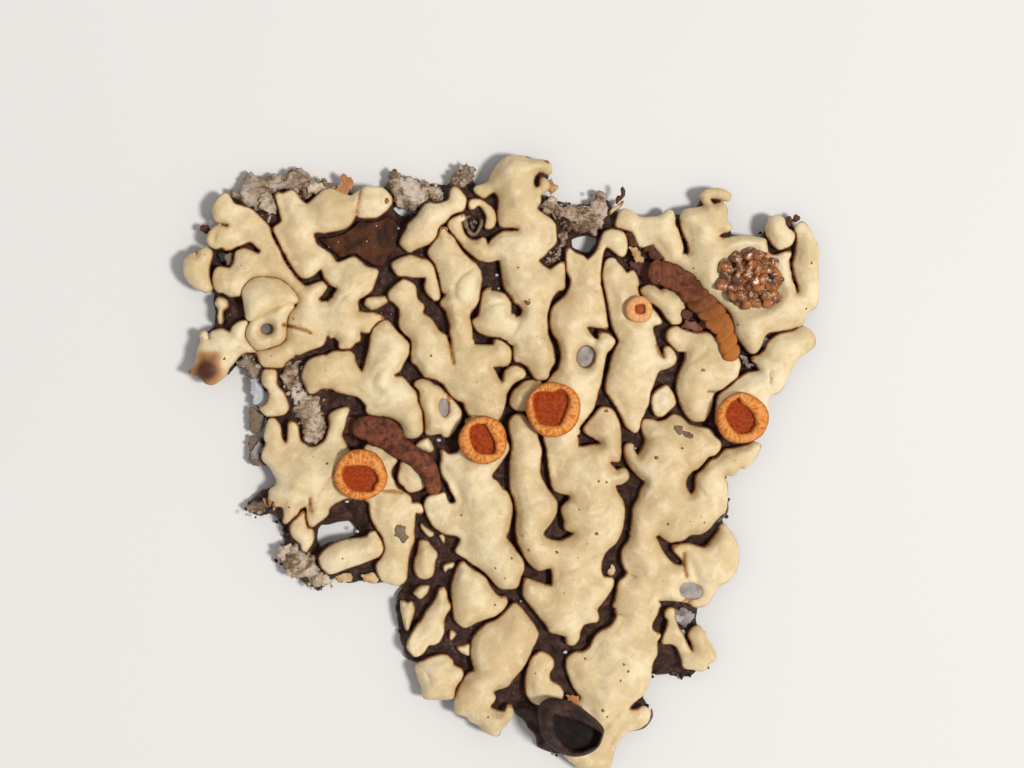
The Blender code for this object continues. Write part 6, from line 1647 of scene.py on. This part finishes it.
def add_scraps(colours):
    """Thin scraps of bark, scales and flakes, and the inner skin seen through the holes."""
    tops = surface_points()
    pieces = {name: (finish, level, shifted(loop))
              for name, (finish, level, loop) in SCRAPS.items()}
    for number, (x, y, half) in enumerate(WHITE_BITS):
        turn = full_turn(6) + number * 0.7
        pieces[f"white_{number}"] = ("flake", WHITE_LEVEL,
                                     round_loop(at(x, y), half, 0.7 * half, turn))
    for node in ("lobe_left_pierced", "lobe_teardrop", "lobe_centre_right", "lobe_right_lower"):
        loops = sorted(floor_loops(node), key=len)
        for number, loop in enumerate(loops[:-1]):
            middle = loop.mean(0)
            pieces[f"inside_{node[5:]}_{number}"] = (
                "inside", INSIDE_LEVEL, middle + (loop - middle) * 1.3)
    for seed, (name, (finish, level, loop)) in enumerate(pieces.items()):
        first, second, per_mm, roughness = FINISHES[finish]
        material = get_material("scrap_" + finish, make_plain, getattr(colours, first),
                                getattr(colours, second), per_mm, roughness)
        size = min(np.ptp(loop[:, 0]), np.ptp(loop[:, 1]))
        torn = 0.0 if finish == "inside" else 0.15 * min(1.0, size)
        patch = Patch([[frayed_loop(loop, torn, 0.35, seed)]], cell=0.06, swell_length=0.15,
                      edge_radius=0.06, blur=0.08)
        x, y = patch.x, patch.y
        if level is None:
            heights = [height_at(tops, px, py) for px, py in zip(x, y)]
            warp = np.array([SEAT if height is None else height for height in heights]) + 0.02
        else:
            warp = level + 0.1 * grain(x, y, 0.6, 33)
        top = warp + 0.05 * dome(patch.swell)
        bottom = warp - 0.03 * dome(patch.swell)
        points, faces, _ = patch.body(top, bottom)
        add_piece("scrap_" + name, points, faces, [material])


def threads(lines, seed):
    """One mesh of tapered round threads; each is its half width and its x, y, z points."""
    around, points, faces = 8, [], []
    turn = full_turn(around)
    for number, (half, line) in enumerate(lines):
        way = np.gradient(line[:, :2], axis=0)
        way /= np.maximum(np.linalg.norm(way, axis=1), 1e-9)[:, None]
        along = np.linspace(0.0, 1.0, len(line))
        size = half * np.sqrt(np.clip(np.minimum(along, 1 - along) / 0.12, 0.02, 1.0))
        size = size * (1 + 0.5 * grain(line[:, 0], line[:, 1], 0.3, seed + number))
        base = sum(len(p) for p in points)
        points.append(np.stack([
            line[:, 0:1] - way[:, 1:2] * size[:, None] * np.cos(turn),
            line[:, 1:2] + way[:, 0:1] * size[:, None] * np.cos(turn),
            line[:, 2:3] + size[:, None] * np.sin(turn)], axis=2).reshape(-1, 3))
        for i in range(len(line) - 1):
            for k in range(around):
                a, b = base + i * around + k, base + i * around + (k + 1) % around
                faces.append((a, b, b + around, a + around))
        last = base + (len(line) - 1) * around
        faces.append([base + k for k in reversed(range(around))])
        faces.append([last + k for k in range(around)])
    return np.vstack(points), faces


def add_curls(colours):
    """Dark edges curled up along the torn border, and the rings in the pit at the top."""
    curled = get_material("curled_edge", make_plain, colours.curl, colours.black_brown, 2.0, 0.5)
    lines = []
    for half, line in CURLS:
        drawn = smooth_line(shifted(line), 40)
        level = CURL_LEVEL + 2.2 * (half - 0.05) + 0.12 * grain(drawn[:, 0], drawn[:, 1], 0.8, 94)
        lines.append((half, np.column_stack([drawn, level])))
    points, faces = threads(lines, 95)
    add_piece("curled_edges", points, faces, [curled])
    worn = get_material("pit_rings", make_plain, colours.worn, colours.black_brown, 1.6, 0.6)
    rings = []
    for half, reach, start, end, level in PIT_RINGS:
        turn = np.radians(np.linspace(start, end, 40))
        wave = reach * (1 + 0.12 * np.sin(3 * turn))
        middle = at(*PIT_MIDDLE)
        rings.append((half, np.column_stack([
            middle[0] + wave * np.cos(turn), middle[1] + wave * np.sin(turn) * 1.15,
            level + 0.06 * np.sin(5 * turn)])))
    points, faces = threads(rings, 97)
    add_piece("pit_rings", points, faces, [worn])


# ---------------------------------------------------------------- stage
def add_key_light():
    """A soft disc of light from the upper right."""
    data = bpy.data.lights.new("key", "AREA")
    data.shape = "DISK"
    data.size = KEY_SIZE
    data.energy = KEY_POWER
    data.color = KEY_TINT
    light = bpy.data.objects.new("key", data)
    light.location = KEY_PLACE
    light.rotation_mode = "QUATERNION"
    light.rotation_quaternion = (Vector(KEY_AIM) - Vector(KEY_PLACE)).to_track_quat("-Z", "Y")
    bpy.context.scene.collection.objects.link(light)


def add_stage(colours):
    """Pale paper, a camera that looks straight down, one soft light and a pale room."""
    scene = bpy.context.scene
    mesh = bpy.data.meshes.new("paper_sheet")
    corners = [(x * PAPER_REACH, y * PAPER_REACH, 0)
               for x, y in ((-1, -1), (1, -1), (1, 1), (-1, 1))]
    mesh.from_pydata(corners, [], [(0, 1, 2, 3)])
    n = Nodes("paper")
    tone = n.noise(0.02, 2.0)
    tint = n.mix(n.spread(tone, 0.3, 0.7), colours.paper, shade(colours.paper, 0.985))
    mesh.materials.append(n.finish(tint, 0.9, n.bump(n.noise(3.0, 3.0), 0.05, 0.02), 0.1))
    floor = bpy.data.objects.new("paper_sheet", mesh)
    scene.collection.objects.link(floor)
    camera_data = bpy.data.cameras.new("view_from_above")
    camera_data.lens = LENS
    camera_data.sensor_width = SENSOR
    camera_data.clip_start = 0.001
    camera_data.clip_end = 10.0
    camera = bpy.data.objects.new("view_from_above", camera_data)
    away = VIEW_WIDTH * LENS / SENSOR
    camera.location = Vector((VIEW_CENTRE[0], VIEW_CENTRE[1], VIEW_LEVEL + away)) * MM
    scene.collection.objects.link(camera)
    scene.camera = camera
    add_key_light()
    world = bpy.data.worlds.new("soft_room")
    world.use_nodes = True
    room = world.node_tree.nodes["Background"]
    room.inputs["Color"].default_value = ROOM_TINT
    room.inputs["Strength"].default_value = ROOM_STRENGTH
    scene.world = world
    scene.view_settings.view_transform = "Standard"


# ================================================================ operators
class LICHEN_OT_lobes(bpy.types.Operator):
    """Build the swollen cream lobes with their dark fringes"""
    bl_idname = "lichen.lobes"
    bl_label = "Lobes"

    def execute(self, context):
        add_lobes(context.scene.lichen_sizes, context.scene.lichen_colours)
        return {"FINISHED"}


class LICHEN_OT_small_lobes(bpy.types.Operator):
    """Build the lobules and cream bits between the lobes"""
    bl_idname = "lichen.small_lobes"
    bl_label = "Small Lobes"

    def execute(self, context):
        add_small_lobes(context.scene.lichen_sizes, context.scene.lichen_colours)
        return {"FINISHED"}


class LICHEN_OT_underside(bpy.types.Operator):
    """Build the black lower skin and the crumbs on its torn edge"""
    bl_idname = "lichen.underside"
    bl_label = "Lower Skin"

    def execute(self, context):
        colours = context.scene.lichen_colours
        add_crumbs(context.scene.lichen_sizes, colours, add_underside(colours))
        return {"FINISHED"}


class LICHEN_OT_cups(bpy.types.Operator):
    """Build the orange cups and the dark old cup"""
    bl_idname = "lichen.cups"
    bl_label = "Cups"

    def execute(self, context):
        add_cups(context.scene.lichen_sizes, context.scene.lichen_colours)
        return {"FINISHED"}


class LICHEN_OT_spots(bpy.types.Operator):
    """Set the small brown fruit-bodies on the lobes"""
    bl_idname = "lichen.spots"
    bl_label = "Brown Spots"

    def execute(self, context):
        add_spots(context.scene.lichen_colours)
        return {"FINISHED"}


class LICHEN_OT_liverwort(bpy.types.Operator):
    """Build the leafy shoots, the beaded tuft and the dry red-brown sheet"""
    bl_idname = "lichen.liverwort"
    bl_label = "Liverwort"

    def execute(self, context):
        colours = context.scene.lichen_colours
        add_shoots(colours)
        add_tuft(colours)
        add_dry_leaf(colours)
        return {"FINISHED"}


class LICHEN_OT_bark(bpy.types.Operator):
    """Build the pieces of weathered bark"""
    bl_idname = "lichen.bark"
    bl_label = "Bark"

    def execute(self, context):
        add_bark(context.scene.lichen_colours)
        return {"FINISHED"}


class LICHEN_OT_scraps(bpy.types.Operator):
    """Build the flakes, scales and other scraps, and the curled edges"""
    bl_idname = "lichen.scraps"
    bl_label = "Scraps"

    def execute(self, context):
        add_scraps(context.scene.lichen_colours)
        add_curls(context.scene.lichen_colours)
        return {"FINISHED"}


class LICHEN_OT_stage(bpy.types.Operator):
    """Lay the paper, and set the lights and the camera"""
    bl_idname = "lichen.stage"
    bl_label = "Stage"

    def execute(self, context):
        add_stage(context.scene.lichen_colours)
        return {"FINISHED"}


OPERATORS = (LICHEN_OT_lobes, LICHEN_OT_small_lobes, LICHEN_OT_underside, LICHEN_OT_cups,
             LICHEN_OT_spots, LICHEN_OT_liverwort, LICHEN_OT_bark, LICHEN_OT_scraps,
             LICHEN_OT_stage)


class LICHEN_PT_looks(bpy.types.Panel):
    """Lists the steps and the settings that they use"""
    bl_idname = "LICHEN_PT_looks"
    bl_label = "Leafy Lichen"
    bl_space_type = "VIEW_3D"
    bl_region_type = "UI"
    bl_category = "Lichen"

    def draw(self, context):
        column = self.layout.column(align=True)
        for operator in OPERATORS:
            column.operator(operator.bl_idname)
        for settings in (context.scene.lichen_sizes, context.scene.lichen_colours):
            box = self.layout.box()
            for name in settings.__annotations__:
                box.prop(settings, name)


CLASSES = (LichenSizes, LichenColours, *OPERATORS, LICHEN_PT_looks)


def register():
    for item in CLASSES:
        bpy.utils.register_class(item)
    bpy.types.Scene.lichen_sizes = PointerProperty(type=LichenSizes)
    bpy.types.Scene.lichen_colours = PointerProperty(type=LichenColours)


def unregister():
    del bpy.types.Scene.lichen_colours
    del bpy.types.Scene.lichen_sizes
    for item in reversed(CLASSES):
        bpy.utils.unregister_class(item)


def main():
    """Build every piece and the stage in order."""
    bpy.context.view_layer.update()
    register()
    bpy.ops.lichen.lobes()
    bpy.ops.lichen.small_lobes()
    bpy.ops.lichen.underside()
    bpy.ops.lichen.cups()
    bpy.ops.lichen.spots()
    bpy.ops.lichen.liverwort()
    bpy.ops.lichen.bark()
    bpy.ops.lichen.scraps()
    bpy.ops.lichen.stage()


if __name__ == "__main__":
    main()
